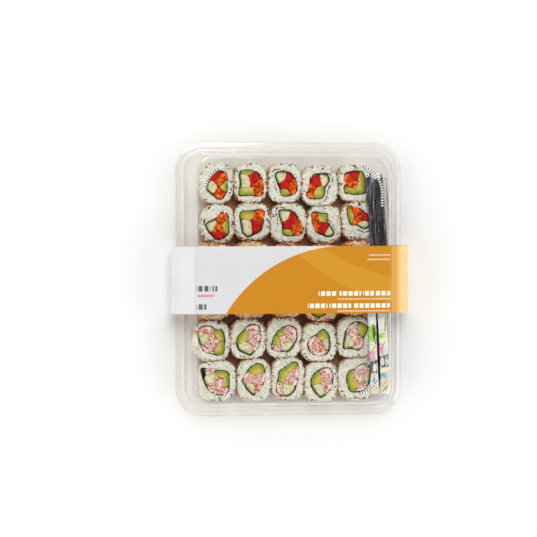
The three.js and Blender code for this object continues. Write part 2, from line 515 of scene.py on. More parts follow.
def feed(node: bpy.types.Node, inputs: dict[str | int, object]) -> None:
    """Fill a node's inputs.

    Args:
        node: The node.
        inputs: For each input, by its name or number, a socket that is joined to it or a value for it.
    """
    for name, value in inputs.items():
        socket = node.inputs[name]
        if isinstance(value, Socket):
            node.id_data.links.new(value, socket)
        elif isinstance(value, tuple) and len(socket.default_value) == 4:
            socket.default_value = (*value, 1.0)
        else:
            socket.default_value = value


def wired(
    tree: bpy.types.NodeTree, kind: str, inputs: dict[str | int, object], **settings: object
) -> bpy.types.Node:
    """Add a node to a tree.

    Args:
        tree: The tree.
        kind: Blender's name for the node.
        inputs: What its inputs are fed.
        **settings: Properties of the node.

    Returns:
        The node.
    """
    made = tree.nodes.new(kind)
    for name, value in settings.items():
        setattr(made, name, value)
    feed(made, inputs)
    return made


class Shader:
    """A material in the making: its node tree and the one Principled shader in it."""

    def __init__(self, name: str) -> None:
        """Start a material with this name."""
        self.material = bpy.data.materials.new(name)
        self.material.use_nodes = True
        self.tree = self.material.node_tree
        self.body = self.tree.nodes["Principled BSDF"]
        self.output = self.tree.nodes["Material Output"]

    def set(self, **values: float | Colour | Socket) -> None:
        """Fill the Principled shader's own inputs, named with underscores for spaces."""
        feed(self.body, {name.replace("_", " "): value for name, value in values.items()})

    def relief(self, height: Socket, depth: float) -> None:
        """Press relief of this depth, in millimetres, into the surface."""
        bump = wired(self.tree, "ShaderNodeBump", {"Distance": depth * METRE, "Height": height})
        self.set(Normal=bump.outputs["Normal"])

    def place(self) -> Socket:
        """Read where a point lies on the object."""
        return wired(self.tree, "ShaderNodeTexCoord", {}).outputs["Object"]

    def mix(self, share: Socket | float, first: Socket | Colour, second: Socket | Colour) -> Socket:
        """Blend two colours, the share being how much of the second one shows."""
        inputs = {0: share, 6: first, 7: second}
        return wired(self.tree, "ShaderNodeMix", inputs, data_type="RGBA").outputs[2]

    def measure(self, value: Socket, low: float, high: float, to: tuple[float, float] = (0, 1)) -> Socket:
        """Map a value smoothly from one range to another, held at its ends.

        Args:
            value: The value.
            low: What maps to the first of the new range.
            high: What maps to the last of the new range.
            to: The new range.

        Returns:
            The mapped value.
        """
        inputs = {"Value": value, "From Min": low, "From Max": high, "To Min": to[0], "To Max": to[1]}
        ranged = wired(self.tree, "ShaderNodeMapRange", inputs, interpolation_type="SMOOTHSTEP")
        return ranged.outputs["Result"]

    def sum(self, kind: str, first: Socket, second: Socket | float = 0.0) -> Socket:
        """Do one sum, such as ADD or MULTIPLY, on a value and another value or number."""
        return wired(self.tree, "ShaderNodeMath", {0: first, 1: second}, operation=kind).outputs[0]

    def squares(self, first: Socket, second: Socket) -> Socket:
        """Add up the squares of two values."""
        return self.sum("ADD", self.sum("MULTIPLY", first, first), self.sum("MULTIPLY", second, second))

    def field(self, name: str) -> Socket:
        """Read a value that the mesh carries at its points."""
        return wired(self.tree, "ShaderNodeAttribute", {}, attribute_name=name).outputs["Fac"]

    def cloud(self, sizes: tuple[float, float, float], detail: float = 2.0) -> Socket:
        """Make soft noise.

        Args:
            sizes: The size of its patches along x, y and z, in millimetres.
            detail: How much finer noise lies in it.

        Returns:
            The noise.
        """
        scale = tuple(1 / (size * METRE) for size in sizes)
        place = wired(self.tree, "ShaderNodeMapping", {"Scale": scale, "Vector": self.place()})
        inputs = {"Scale": 1.0, "Detail": detail, "Vector": place.outputs["Vector"]}
        return wired(self.tree, "ShaderNodeTexNoise", inputs).outputs["Fac"]

    def oval(self, down: Socket, across: Socket, mark: Mark) -> Socket:
        """Mask an oval mark.

        Args:
            down: How far down the print a point lies.
            across: How far across the print it lies.
            mark: The mark.

        Returns:
            The mask.
        """
        cosine, sine = math.cos(math.radians(mark.lean)), math.sin(math.radians(mark.lean))
        run = self.sum("SUBTRACT", down, mark.middle[0])
        side = self.sum("SUBTRACT", across, mark.middle[1])
        reaches = []
        for along, aside, half in ((cosine, sine, mark.half[0]), (-sine, cosine, mark.half[1])):
            parts = (self.sum("MULTIPLY", run, along / half), self.sum("MULTIPLY", side, aside / half))
            reaches.append(self.sum("ADD", *parts))
        return self.measure(self.squares(*reaches), 1.15, 0.8, (0, mark.strength))


def mottle_group() -> bpy.types.NodeTree:
    """Build, once, the unevenness that every finish shares.

    Returns:
        A group that blends two colours in soft patches and gives fine relief and roughness.
    """
    name = "mottle"
    if name in bpy.data.node_groups:
        return bpy.data.node_groups[name]
    group = bpy.data.node_groups.new(name, "ShaderNodeTree")
    for label, kind, value in (
        ("Light", "Color", (0.8, 0.8, 0.8, 1)),
        ("Dark", "Color", (0.5, 0.5, 0.5, 1)),
        ("Patch Scale", "Float", 300.0),
        ("Grain Scale", "Float", 2000.0),
        ("Smooth", "Float", 0.3),
        ("Rough", "Float", 0.5),
    ):
        socket = group.interface.new_socket(label, in_out="INPUT", socket_type=f"NodeSocket{kind}")
        socket.default_value = value
    for label, kind in (("Color", "Color"), ("Height", "Float"), ("Roughness", "Float")):
        group.interface.new_socket(label, in_out="OUTPUT", socket_type=f"NodeSocket{kind}")
    entry = wired(group, "NodeGroupInput", {}).outputs
    leave = wired(group, "NodeGroupOutput", {})
    place = wired(group, "ShaderNodeTexCoord", {}).outputs["Object"]
    clouds = []
    for detail, scale in ((3, "Patch Scale"), (4, "Grain Scale")):
        inputs = {"Detail": detail, "Vector": place, "Scale": entry[scale]}
        clouds.append(wired(group, "ShaderNodeTexNoise", inputs).outputs["Fac"])
    patch, grain = clouds
    spread = wired(group, "ShaderNodeMapRange", {"From Min": 0.35, "From Max": 0.65, "Value": patch})
    inputs = {0: spread.outputs["Result"], 6: entry["Dark"], 7: entry["Light"]}
    blend = wired(group, "ShaderNodeMix", inputs, data_type="RGBA")
    both = wired(group, "ShaderNodeMath", {0: patch, 1: grain}, operation="ADD")
    inputs = {"Value": grain, "To Min": entry["Smooth"], "To Max": entry["Rough"]}
    gloss = wired(group, "ShaderNodeMapRange", inputs)
    feed(leave, {"Color": blend.outputs[2], "Height": both.outputs[0], "Roughness": gloss.outputs["Result"]})
    return group


@dataclass(frozen=True)
class Mottle:
    """How uneven a finish is: the size of its patches and grain, in millimetres, and its shine."""

    patch: float
    grain: float
    smooth: float
    rough: float
    relief: float

    def apply(self, shader: Shader, light: Colour, dark: Colour) -> Socket:
        """Place the shared group in a material and wire its relief and roughness.

        Args:
            shader: The material.
            light: The lighter patches' colour.
            dark: The darker patches' colour.

        Returns:
            The blended colour's socket.
        """
        inputs = {
            "Light": light, "Dark": dark, "Smooth": self.smooth, "Rough": self.rough,
            "Patch Scale": 1 / (self.patch * METRE), "Grain Scale": 1 / (self.grain * METRE),
        }
        group = wired(shader.tree, "ShaderNodeGroup", {}, node_tree=mottle_group())
        feed(group, inputs)
        shader.relief(group.outputs["Height"], self.relief)
        shader.set(Roughness=group.outputs["Roughness"])
        return group.outputs["Color"]


@dataclass(frozen=True)
class FoodFinish:
    """A moist food surface, with its own tints from piece to piece and another colour at its rim."""

    name: str
    light: Colour
    dark: Colour
    mottle: Mottle
    tints: tuple[Colour, ...] = ()
    tint_share: float = 0.6
    skin: Colour | None = None
    skin_from: float = 0.0
    skin_depth: float = 1.5
    glow: float = 0.0
    wet: float = 0.0
    specular: float = 0.3

    def material(self) -> Material:
        """Make the material, or return it if it is made already."""
        if self.name in bpy.data.materials:
            return bpy.data.materials[self.name]
        shader = Shader(self.name)
        colour = self.mottle.apply(shader, self.light, self.dark)
        if self.tints:
            island = wired(shader.tree, "ShaderNodeNewGeometry", {}).outputs["Random Per Island"]
            ramp = wired(shader.tree, "ShaderNodeValToRGB", {"Fac": island})
            ramp.color_ramp.interpolation = "CONSTANT"
            stops = ramp.color_ramp.elements
            stops[0].color = (*self.tints[0], 1)
            stops[1].position = 1 / len(self.tints)
            stops[1].color = (*self.tints[1], 1)
            for i, tint in enumerate(self.tints[2:], start=2):
                stops.new(i / len(self.tints)).color = (*tint, 1)
            colour = shader.mix(self.tint_share, colour, ramp.outputs["Color"])
        # On plain rice this skin colour, spread by the rim field, is partly painted warm shade.
        if self.skin:
            share = shader.measure(shader.field("rim"), self.skin_from, 1.0)
            colour = shader.mix(share, colour, self.skin)
        shader.set(
            Base_Color=colour, Subsurface_Weight=self.glow, Subsurface_Scale=0.002,
            Subsurface_Radius=(1.0, 0.7, 0.5), Coat_Weight=self.wet, Coat_Roughness=0.2,
            Specular_IOR_Level=self.specular,
        )
        return shader.material


MOIST = Mottle(patch=3.0, grain=0.6, smooth=0.32, rough=0.5, relief=0.06)
STARCHY = Mottle(patch=4.0, grain=0.8, smooth=0.38, rough=0.58, relief=0.05)
FIBROUS = Mottle(patch=1.4, grain=0.35, smooth=0.35, rough=0.55, relief=0.1)

# The tan skin on plain rice is partly a stain in random patches and partly painted warm shade down the side
# and in the seams between rolls.
RICE = FoodFinish(
    "rice_grains", paint(236, 236, 226), paint(222, 221, 206), STARCHY,
    tints=(paint(240, 240, 232), paint(226, 225, 212), paint(235, 234, 222), paint(212, 207, 188)),
    tint_share=0.6, skin=paint(184, 130, 74), wet=0.35,
)
COATED_RICE = FoodFinish(
    "coated_grains", paint(250, 232, 194), paint(240, 208, 158), STARCHY,
    tints=(paint(252, 240, 210), paint(244, 222, 178), paint(250, 230, 190), paint(236, 180, 110)),
    tint_share=0.6, skin=paint(206, 84, 14), wet=0.2,
)
NORI = FoodFinish("nori", paint(30, 30, 16), paint(8, 9, 6), FIBROUS, specular=0.06)
AVOCADO = FoodFinish(
    "avocado", paint(212, 190, 106), paint(190, 168, 72), MOIST,
    skin=paint(136, 150, 24), skin_depth=4.6, skin_from=0.1, wet=0.1,
)
CUCUMBER = FoodFinish(
    "cucumber", paint(230, 222, 188), paint(190, 184, 134), MOIST,
    skin=paint(84, 104, 34), skin_depth=2.2, skin_from=0.1, wet=0.15,
)
PEPPER = FoodFinish(
    "pepper", paint(214, 30, 14), paint(142, 5, 3), MOIST,
    skin=paint(112, 3, 3), skin_depth=1.6, wet=0.1, specular=0.12,
)
# The palest shred tints stand for painted highlights and the darkest for painted shade; the rest vary from
# shred to shred.
CARROT = FoodFinish(
    "carrot", paint(250, 108, 18), paint(232, 70, 8), FIBROUS,
    tints=(
        paint(252, 112, 18), paint(240, 76, 8), paint(255, 168, 76),
        paint(250, 92, 12), paint(190, 40, 4), paint(255, 132, 36),
    ),
    tint_share=0.9, specular=0.12,
)
SURIMI = FoodFinish(
    "surimi", paint(250, 216, 204), paint(244, 186, 170), FIBROUS,
    tints=(
        paint(252, 238, 230), paint(250, 212, 200), paint(254, 242, 236), paint(246, 178, 158),
        paint(252, 226, 216), paint(230, 108, 90), paint(252, 232, 224), paint(252, 220, 208),
    ),
    tint_share=0.85, wet=0.05, specular=0.2,
)
SESAME_BLACK = FoodFinish("sesame_black", paint(38, 32, 28), paint(14, 12, 12), FIBROUS)
SESAME_GOLD = FoodFinish("sesame_gold", paint(228, 149, 69), paint(175, 99, 37), FIBROUS)
GRANULE = FoodFinish(
    "orange_granule", paint(243, 152, 67), paint(211, 104, 38), FIBROUS,
    tints=(
        paint(243, 112, 26), paint(243, 192, 93), paint(211, 67, 12),
        paint(243, 243, 183), paint(126, 40, 12),
    ),
    tint_share=0.8, specular=0.15,
)


@dataclass(frozen=True)
class ClearFinish:
    """Thin clear plastic, which reflects and bends light, but lets light on to dull surfaces straight."""

    name: str
    tint: Colour
    roughness: float
    wave: float = 0.02
    milk: float = 0.0

    def material(self) -> Material:
        """Make the material, or return it if it is made already."""
        if self.name in bpy.data.materials:
            return bpy.data.materials[self.name]
        shader = Shader(self.name)
        shader.set(
            Base_Color=self.tint, Roughness=self.roughness, IOR=1.45, Transmission_Weight=1 - self.milk,
        )
        noise = wired(shader.tree, "ShaderNodeTexNoise", {"Scale": 70, "Detail": 2, "Vector": shader.place()})
        shader.relief(noise.outputs["Fac"], self.wave)
        through = wired(shader.tree, "ShaderNodeBsdfTransparent", {"Color": self.tint}).outputs["BSDF"]
        rays = wired(shader.tree, "ShaderNodeLightPath", {}).outputs
        surface = shader.body.outputs["BSDF"]
        for straight in ("Is Diffuse Ray", "Is Shadow Ray"):
            inputs = {0: rays[straight], 1: surface, 2: through}
            surface = wired(shader.tree, "ShaderNodeMixShader", inputs).outputs["Shader"]
        feed(shader.output, {"Surface": surface})
        return shader.material


LID_CLEAR = ClearFinish("clear_lid_plastic", (0.985, 0.983, 0.975), 0.03)
# The frosted white ribs are painted glints, and the grey ones painted shade between them.
RIB_GLINT_AND_SHADE = (
    ClearFinish("pale_rib_plastic", (0.99, 0.99, 0.99), 0.12, milk=0.7),
    ClearFinish("shaded_rib_plastic", (0.3, 0.3, 0.3), 0.12, milk=0.4),
)
BASE_CLEAR = ClearFinish("clear_base_plastic", (0.965, 0.96, 0.946), 0.1, milk=0.2)
FLANGE_CLEAR = ClearFinish("clear_flange_plastic", (0.955, 0.951, 0.942), 0.06, milk=0.03)


# ------ the rolls


class Filling(Enum):
    """What the strips inside a roll are made of."""

    AVOCADO = AVOCADO
    CUCUMBER = CUCUMBER
    PEPPER = PEPPER
    CARROT = CARROT
    SURIMI = SURIMI
    NORI = NORI

    @property
    def shredded(self) -> bool:
        """Whether it is a bundle of shreds and not one strip."""
        return self in (Filling.CARROT, Filling.SURIMI)


A, U, P, C, S, N = (
    Filling.AVOCADO, Filling.CUCUMBER, Filling.PEPPER, Filling.CARROT, Filling.SURIMI, Filling.NORI,
)
Strip = tuple[Filling, float, float]


@dataclass(frozen=True)
class Core:
    """The middle of a roll on its cut face, in millimetres from the roll's centre.

    The outline is where the seaweed runs, each strip has a middle, and the tail is the stretch of
    directions, in degrees, where the seaweed's outer end runs on inside the rice.
    """

    outline: tuple[tuple[float, float], ...]
    strips: tuple[Strip, ...]
    tail: tuple[float, float] | None = None


CORES: dict[str, Core] = {
    "r1c1": Core(
        ((0.5, 12.5), (10, 9), (11, -1), (10.5, -9), (4, -17), (-5.5, -11), (-11, -5.5), (-7, 4.5)),
        ((P, -2, 8), (C, 4, 1.5), (C, 3, -10.5), (U, -5.5, -4.5), (A, 9, -3)),
    ),
    "r1c2": Core(
        ((-11, 11.5), (0, 12.5), (8, 9.5), (12, 1.5), (12, -12.5), (-2, -13), (-12, -12.5), (-11, -0.5)),
        ((A, -3, 13.5), (U, -6, 2), (P, 3.5, 4), (C, 9, -1), (A, -4, -11), (C, 9, -12)),
    ),
    "r1c3": Core(
        ((-9.5, 10.5), (1.5, 12), (8.5, 7.5), (13, -2.5), (10, -10), (2.5, -13), (-3.5, -12.5), (-5, -6.5),
         (-8.5, 1.5)),
        ((U, -4.5, 6.5), (P, 5, 4.5), (P, 0.5, -2), (C, 10, 0), (C, 6.5, -6.5), (A, 0, -10)),
        tail=(95, 225),
    ),
    "r1c4": Core(
        ((-9, 9), (0, 12.5), (8, 11), (10, 4), (5.5, -2.5), (4, -11), (-3, -13.5), (-12, -12.5),
         (-14, -8.5), (-10.5, -2)),
        ((P, -4, 5.5), (U, 5.5, 7), (C, -9, -3), (C, -11, -10), (A, -1, -8)),
        tail=(65, -75),
    ),
    "r1c5": Core(
        ((-11, 9), (-5.5, 11.5), (1.5, 12.5), (7.5, 11), (10.5, 4), (10.5, -8), (7.5, -11), (-5.5, -11),
         (-11.5, -8.5), (-10.5, 0)),
        ((C, -8, 4), (P, -1, 7.5), (C, -3, -1), (A, 8, 6), (A, 6, -4), (A, -5, -9)),
    ),
    "r2c1": Core(
        ((3.5, 11.5), (10, 9.5), (11, 1.5), (10.5, -10.5), (0, -16.5), (-8, -10), (-13, -1.5), (-9.5, 2.5),
         (-1, 6.5)),
        ((U, -6.5, 0), (C, 3, 4.5), (C, 1, -4.5), (A, 9, -2), (P, 0.5, -12)),
    ),
    "r2c2": Core(
        ((-12, 9.5), (0, 11), (10, 12.5), (12.5, 9.5), (11, -2.5), (9, -9.5), (5, -11.5), (-4, -15.5),
         (-10, -11.5), (-11.5, -2.5)),
        ((A, -5, 9.5), (C, 8, 5), (P, 4.5, -5), (U, -6, -6)),
    ),
    "r2c3": Core(
        ((-9.5, 12.5), (0.5, 13.5), (7.5, 9.5), (12.5, 0.5), (15, -7.5), (11.5, -12), (1.5, -13),
         (-5.5, -11.5), (-6, -4.5), (-8.5, 3.5)),
        ((U, -4.5, 7.5), (P, 4.5, 4), (P, -0.5, -2.5), (C, 9.5, -2), (C, 6, -6), (A, -0.5, -10)),
        tail=(100, 200),
    ),
    "r2c4": Core(
        ((-13.5, 9.5), (-10.5, 13), (-3.5, 11.5), (3, 10.5), (3.5, 3), (8.5, -4), (10, -10.5), (4.5, -12.5),
         (-5.5, -9.5), (-10, -4)),
        ((C, -10, 7), (C, -7.5, -1), (A, -1.5, 8), (P, -1.5, -3.5), (U, 7, -8)),
        tail=(40, -65),
    ),
    "r2c5": Core(
        ((-11, 15), (-3, 13.5), (4, 11.5), (11.5, 5), (12, -1), (12.5, -6), (6, -8.5), (-2, -4), (-8.5, -2)),
        ((A, -8, 5.5), (C, -2, 9.5), (C, 0.5, 3), (P, 7.5, 4.5), (U, 6, -5)),
        tail=(235, 330),
    ),
    "r5c1": Core(
        ((-15.5, 10), (-11.5, 14), (-6.5, 15.5), (0, 14), (4, 11.5), (8.5, 12), (12, 7), (12.5, -1.5),
         (11.5, -12), (8, -14.5), (0.5, -13.5), (-7, -11), (-11.5, -5.5), (-14.5, 2)),
        ((S, -6, 12), (U, -10, 3), (S, -6.5, -8), (S, 2, -1), (A, 9, 5), (A, 9.5, -6)),
    ),
    "r5c2": Core(
        ((-2, 12), (1.5, 14.5), (8, 14.5), (12, 11.5), (12.5, 0.5), (10.5, -7.5), (7, -11.5), (2.5, -16),
         (-5, -13.5), (-10.5, -10), (-12, -2), (-10.5, 3), (-6.5, 7)),
        ((A, -6.5, 2.5), (S, 6, 10), (S, 5, 0), (S, 9, -7.5), (U, -3, -9)),
    ),
    "r5c3": Core(
        ((-5.5, 7.5), (1.5, 12), (10.5, 10.5), (13.5, 3.5), (11.5, -5.5), (7.5, -11.5), (2.5, -14.5),
         (-6.5, -13.5), (-13, -10.5), (-11.5, -0.5)),
        ((A, -8.5, -1.5), (A, -5, 5), (S, 6, 4.5), (S, 0, -1), (S, -8.5, -12), (U, 3, -9)),
    ),
    "r5c4": Core(
        ((3.5, 12.5), (8.5, 9.5), (11, 3.5), (11.5, -4.5), (8.5, -11.5), (-1.5, -14), (-8.5, -10.5),
         (-11.5, -4.5), (-9.5, 3.5), (-2.5, 7.5)),
        ((A, 5, 8), (U, 11, -2), (S, -4, -1.5), (S, 1.5, -8.5)),
    ),
    "r5c5": Core(
        ((-8.5, 8.5), (-2.5, 14.5), (3.5, 15.5), (13, 10.5), (12, 4.5), (8.5, -2.5), (8.5, -8.5),
         (3.5, -13.5), (-3.5, -11.5), (-12, -11.5), (-11.5, -2.5), (-10, 4.5)),
        ((S, -3, 10), (S, 0, 2.5), (S, 5, -7.5), (A, 8, 7), (U, -7.5, -5.5)),
    ),
    "r6c1": Core(
        ((-16.5, 12), (-10, 12.5), (-3.5, 12.5), (0.5, 10.5), (8.5, 9.5), (12, 6.5), (12.5, 0), (12, -10.5),
         (7.5, -14), (1, -14), (-5.5, -11.5), (-10.5, -6.5), (-14, 1.5)),
        ((N, -15.5, 8), (S, -8, 10), (U, -6.5, 3), (S, -3.5, -8), (S, 2, 0), (A, 5, 6.5), (A, 10, -1),
         (S, 10, -11)),
    ),
    "r6c2": Core(
        ((-9.5, 4), (-5, 12), (3, 17), (10, 13), (11, 3), (8, -7), (2, -12.5), (-0.5, -15.5), (-6, -11),
         (-12, -1.5)),
        ((A, 1, 11), (S, -4, 1), (S, 6, -0.5), (S, 5, -8), (U, -4.5, -8.5)),
    ),
    "r6c3": Core(
        ((-9, 7), (-3, 12), (3, 16), (9, 16), (10.5, 7), (9.5, -4), (6, -13), (0, -17.5), (-9, -17),
         (-12, -10), (-10.5, 0)),
        ((A, -4.5, 4), (A, 2, 12), (S, 7, 5), (S, 2, -1.5), (S, -10, -12), (U, 0, -11)),
    ),
    "r6c4": Core(
        ((-9.5, 4), (-4.5, 10.5), (1.5, 14), (8.5, 14), (12, 8), (11.5, -3), (6.5, -11), (0.5, -16),
         (-4.5, -13), (-10.5, -4)),
        ((A, -5.5, 3.5), (S, 5.5, 6), (S, 6.5, -4), (U, -3, -8)),
    ),
    "r6c5": Core(
        ((-11, 3), (-8, 8.5), (-1, 10.5), (2, 14), (10, 15), (13.5, 9), (13, 0), (10, -8), (3, -13),
         (-7, -12.5), (-10.5, -6)),
        ((A, -9, -2), (A, -3.5, -5), (S, 5, 9), (S, 3, 0), (S, 4, -8), (U, 12.5, 2)),
    ),
}
HIDDEN_TWINS = {
    "r3c1": "r2c2", "r3c2": "r1c5", "r3c3": "r2c1", "r3c4": "r2c3", "r3c5": "r1c2",
    "r4c1": "r5c3", "r4c2": "r5c4", "r4c3": "r6c4", "r4c4": "r6c2", "r4c5": "r5c2",
}


@dataclass
class Roll:
    """One inside-out roll standing on end, cut face up."""

    draft: Draft
    core: Core
    low: Array
    high: Array
    flats: list[tuple[float, float]]
    seed: int
    side_depth: float
    coated: bool
    turned: bool = False
    spill: float | None = None
    around: int = 124
    squareness: float = 3.0
    rice_sink: float = 0.85
    nori_thick: float = 0.5
    # How deep down the side, and how far in from the rim, the rice takes its stain and its painted shade.
    stain_and_shade_depth: float = 4.4
    rim_stain_and_shade: float = 3.0
    grain_size: tuple[float, float, float] = (5.4, 2.1, 1.7)
    grain_gap: float = 2.75
    seed_size: tuple[float, float, float] = (2.5, 1.45, 0.9)
    draw: np.random.Generator = field(init=False)

    def __post_init__(self) -> None:
        """Work out the outlines that everything in the roll follows."""
        self.draw = np.random.default_rng(self.seed)
        self.rice = (COATED_RICE if self.coated else RICE).material()
        self.centre = (self.low[:2] + self.high[:2]) / 2
        self.half = (self.high[:2] - self.low[:2]) / 2
        self.top = float(self.high[2])
        self.bottom = float(self.low[2])
        self.angles = np.arange(self.around) / self.around * FULL_TURN
        knots = np.array(self.core.outline)
        if self.turned:
            knots = -knots
        wavy = closed_curve(knots, 220)
        self.core_loop = wavy + self.centre
        self.middle = self.core_loop.mean(axis=0)
        nori = ray_reach(self.core_loop, self.middle, self.angles)
        ring = self._polar(nori, self.bottom)
        for length, rough in ((7.0, 0.3), (2.2, 0.22), (1.3, 0.13)):
            nori = nori + rough * Ripple(self.seed + round(length), length).at(ring)
        self.nori_reach = nori
        self.rice_reach = self._rice_reach()

    def _rice_reach(self) -> Array:
        """Measure the rice's side, pressed flat against its neighbours.

        Returns:
            Its distance from the core's middle in every direction.
        """
        along = np.abs(np.cos(self.angles) / self.half[0]) ** self.squareness
        across = np.abs(np.sin(self.angles) / self.half[1]) ** self.squareness
        reach = (along + across) ** (-1 / self.squareness)
        for angle, distance in self.flats:
            facing = np.cos(self.angles - angle)
            limit = np.where(facing > 0.2, distance / np.maximum(facing, 0.2), np.inf)
            reach = np.minimum(reach, limit)
        soft = (np.roll(reach, 1) + reach + np.roll(reach, -1)) / 3
        reach = np.minimum(reach, soft)
        loop = self.centre + compass(self.angles) * reach[:, None]
        return ray_reach(loop, self.middle, self.angles)

    def _polar(self, reach: Array, height: Array | float) -> Array:
        """Turn a reach in every direction from the core's middle into a ring of points."""
        return self._spots(self.angles, reach, height)

    def _spots(self, angles: Array, reach: Array, height: Array | float) -> Array:
        """Place a point in each direction from the core's middle, that far from it and at that height."""
        flat = self.middle + compass(angles) * reach[:, None]
        return np.column_stack([flat, np.broadcast_to(height, angles.shape)])

    def _at(self, angles: Array, reach: Array) -> Array:
        """Read a reach at any directions."""
        turns = np.append(self.angles, FULL_TURN)
        return np.interp(angles % FULL_TURN, turns, np.append(reach, reach[0]))

    def build(self) -> None:
        """Add the rice, the seaweed and the fillings to the roll's piece."""
        self._add_rice_body()
        self._add_top_grains()
        self._add_side_grains()
        self._add_seaweed()
        self._add_strips()

    def _add_rice_body(self) -> None:
        """Add the lumpy rice that the grains lie in, hollow where the core runs through."""
        top = self.top - self.rice_sink
        levels = (
            (self.bottom, 1.6), (self.bottom + 1.2, 0.5), (self.bottom + 4, 0.15), (self.bottom + 9, 0.05),
            (top - 7, 0.1), (top - 3.5, 0.2), (top - 1.6, 0.45), (top - 0.6, 0.95), (top - 0.1, 1.7),
        )
        outer = [self._polar(self.rice_reach - inset - 0.35, z) for z, inset in levels]
        span = self.rice_reach - 2.6 - self.nori_reach
        across = [self._polar(self.nori_reach + span * share, top) for share in (1, 0.75, 0.5, 0.25, 0.05)]
        inner = [self._polar(self.nori_reach + 0.02, z) for z in (top - 0.3, top - 4, self.bottom)]
        rings = np.array(outer + across + inner)
        lumps = Ripple(self.seed, 4.2)
        push = 0.3 * lumps.at(rings.reshape(-1, 3)).reshape(rings.shape[:2])
        push[-3:] = 0
        push[0] = 0
        rings[: len(outer), :, :2] += compass(self.angles)[None] * push[: len(outer), :, None]
        rings[len(outer) : -3, :, 2] += push[len(outer) : -3]
        stack = Stack(rings)
        # The rim colour's share: coating, stain and painted warm shade.
        stain_and_shade = self._stain_and_shade(stack.points, 0.06)
        self.draft.add(stack.points, [stack.sides(joined=True)], self.rice, rim=stain_and_shade)

    def _stain_and_shade(self, points: Array, least: float) -> Array:
        """Work out how much rim colour the rice takes: little on the cut face, more at its rim, most down the
        side. On coated rolls and toward a coated row it is real coating; elsewhere it is a tan stain in
        random patches plus painted warm shade that deepens down the side and where the roll faces a
        neighbour.

        Args:
            points: Where it is worked out.
            least: The least share of rim colour that any rice takes.

        Returns:
            The share at each point, from 0 to 1, stain and painted shade together.
        """
        away = points[:, :2] - self.middle
        angles = np.arctan2(away[:, 1], away[:, 0])
        inset = self._at(angles, self.rice_reach) - np.hypot(away[:, 0], away[:, 1])
        rim = np.clip(1 - inset / self.rim_stain_and_shade, 0, 1)
        # Plain rice darkens down the side and where it faces a neighbouring roll: painted warm shade in the
        # seams.
        depth = np.clip((self.top - 0.6 - points[:, 2]) / self.stain_and_shade_depth, 0, 1)
        pressed = self._pressed(angles)
        near = 1.0 if self.coated else 0.06 + 0.44 * pressed
        down = 0.75 if self.coated else 0.04 + 0.5 * pressed
        if self.spill is not None:
            near = near + 1.0 * np.clip(np.cos(angles - self.spill) * 1.6, 0, 1)
        patches = (0.6 if self.coated else 0.25) * Ripple(self.seed + 12, 4.5).at(points)
        patchy = rim * near * (0.5 + patches * 2.4) + patches * (0.2 + depth)
        return np.clip(least + depth * down + patchy, 0, 1)

    def _pressed(self, angles: Array) -> Array:
        """Tell how squarely each direction faces a neighbouring roll, from 0 to 1."""
        return np.max([np.cos(angles - angle) for angle, _ in self.flats], axis=0).clip(0, 1)

    def _lay_grains(self, places: Array, ups: Array, ways: Array) -> None:
        """Lay rice grains on a surface.

        Args:
            places: The middle of each grain.
            ups: The way the surface faces under each grain.
            ways: The way each grain points.
        """
        kernel = Kernel((-0.36, 0.0, 0.36), (0.37, 0.5, 0.37), 5, bend=0.35)
        count = len(places)
        size = np.array(self.grain_size) * self.draw.uniform(0.82, 1.12, (count, 3))
        # Each grain takes the same stain and painted shade, a little jittered.
        stain_and_shade = np.clip(self._stain_and_shade(places, 0.0) + self.draw.normal(0, 0.12, count), 0, 1)
        self.draft.scatter(kernel, self.rice, places, turned_axes(ways, ups, size), rim=stain_and_shade)

    def _add_top_grains(self) -> None:
        """Add the cut and pressed grains that show round the core on the top."""
        points = scattered_grid(self.low[:2], self.high[:2], self.grain_gap, self.draw)
        away = points - self.middle
        angles = np.arctan2(away[:, 1], away[:, 0])
        reach = np.hypot(away[:, 0], away[:, 1])
        nori, side = self._at(angles, self.nori_reach), self._at(angles, self.rice_reach)
        kept = (reach > nori + 0.9) & (reach < side - 0.8)
        points, angles, reach, side = points[kept], angles[kept], reach[kept], side[kept]
        count = len(points)
        edge = np.clip((side - reach - 1.0) / 2.2, 0, 1)
        sink = self.draw.uniform(0.65, 1.05, count) + 0.6 * (1 - edge) ** 2
        ups = np.array([0, 0, 1.0]) + compass(angles, np.zeros(count)) * 0.8 * (1 - edge)[:, None]
        ups[:, :2] += self.draw.normal(0, 0.12, (count, 2))
        turn = self.draw.uniform(0, FULL_TURN, count)
        ways = compass(turn, np.zeros(count))
        self._lay_grains(np.column_stack([points, self.top - sink]), ups, ways)

    def _add_side_grains(self) -> None:
        """Add the grains down the roll's side, as deep as it can be seen."""
        floor = max(self.bottom + 1.2, self.top - self.side_depth)
        angles, height = self._side_grid(floor, self.top - 1.4, self.grain_gap * 1.08)
        kept = (height < self.top - 1.3) & (height > self.bottom + 0.9)
        angles, height = angles[kept], height[kept]
        count = len(angles)
        reach = self._at(angles, self.rice_reach) - self.draw.uniform(0.55, 1.0, count)
        turn = self.draw.uniform(0, FULL_TURN, count)
        tangent = compass(angles + FULL_TURN / 4, np.zeros(count))
        ways = tangent * np.cos(turn)[:, None] + np.array([0, 0, 1]) * np.sin(turn)[:, None]
        ups = compass(angles, np.zeros(count)) + self.draw.normal(0, 0.12, (count, 3))
        self._lay_grains(self._spots(angles, reach, height), ups, ways)

    def _side_grid(self, low: float, high: float, spacing: float) -> tuple[Array, Array]:
        """Spread places round the roll's side.

        Args:
            low: The lowest of them.
            high: The highest.
            spacing: The distance between neighbours.

        Returns:
            Their directions and their heights.
        """
        length = float(self.rice_reach.mean() * FULL_TURN)
        grid = scattered_grid((0, low), (length, high), spacing, self.draw)
        grid = grid[grid[:, 0] < length]
        return grid[:, 0] / length * FULL_TURN, grid[:, 1]

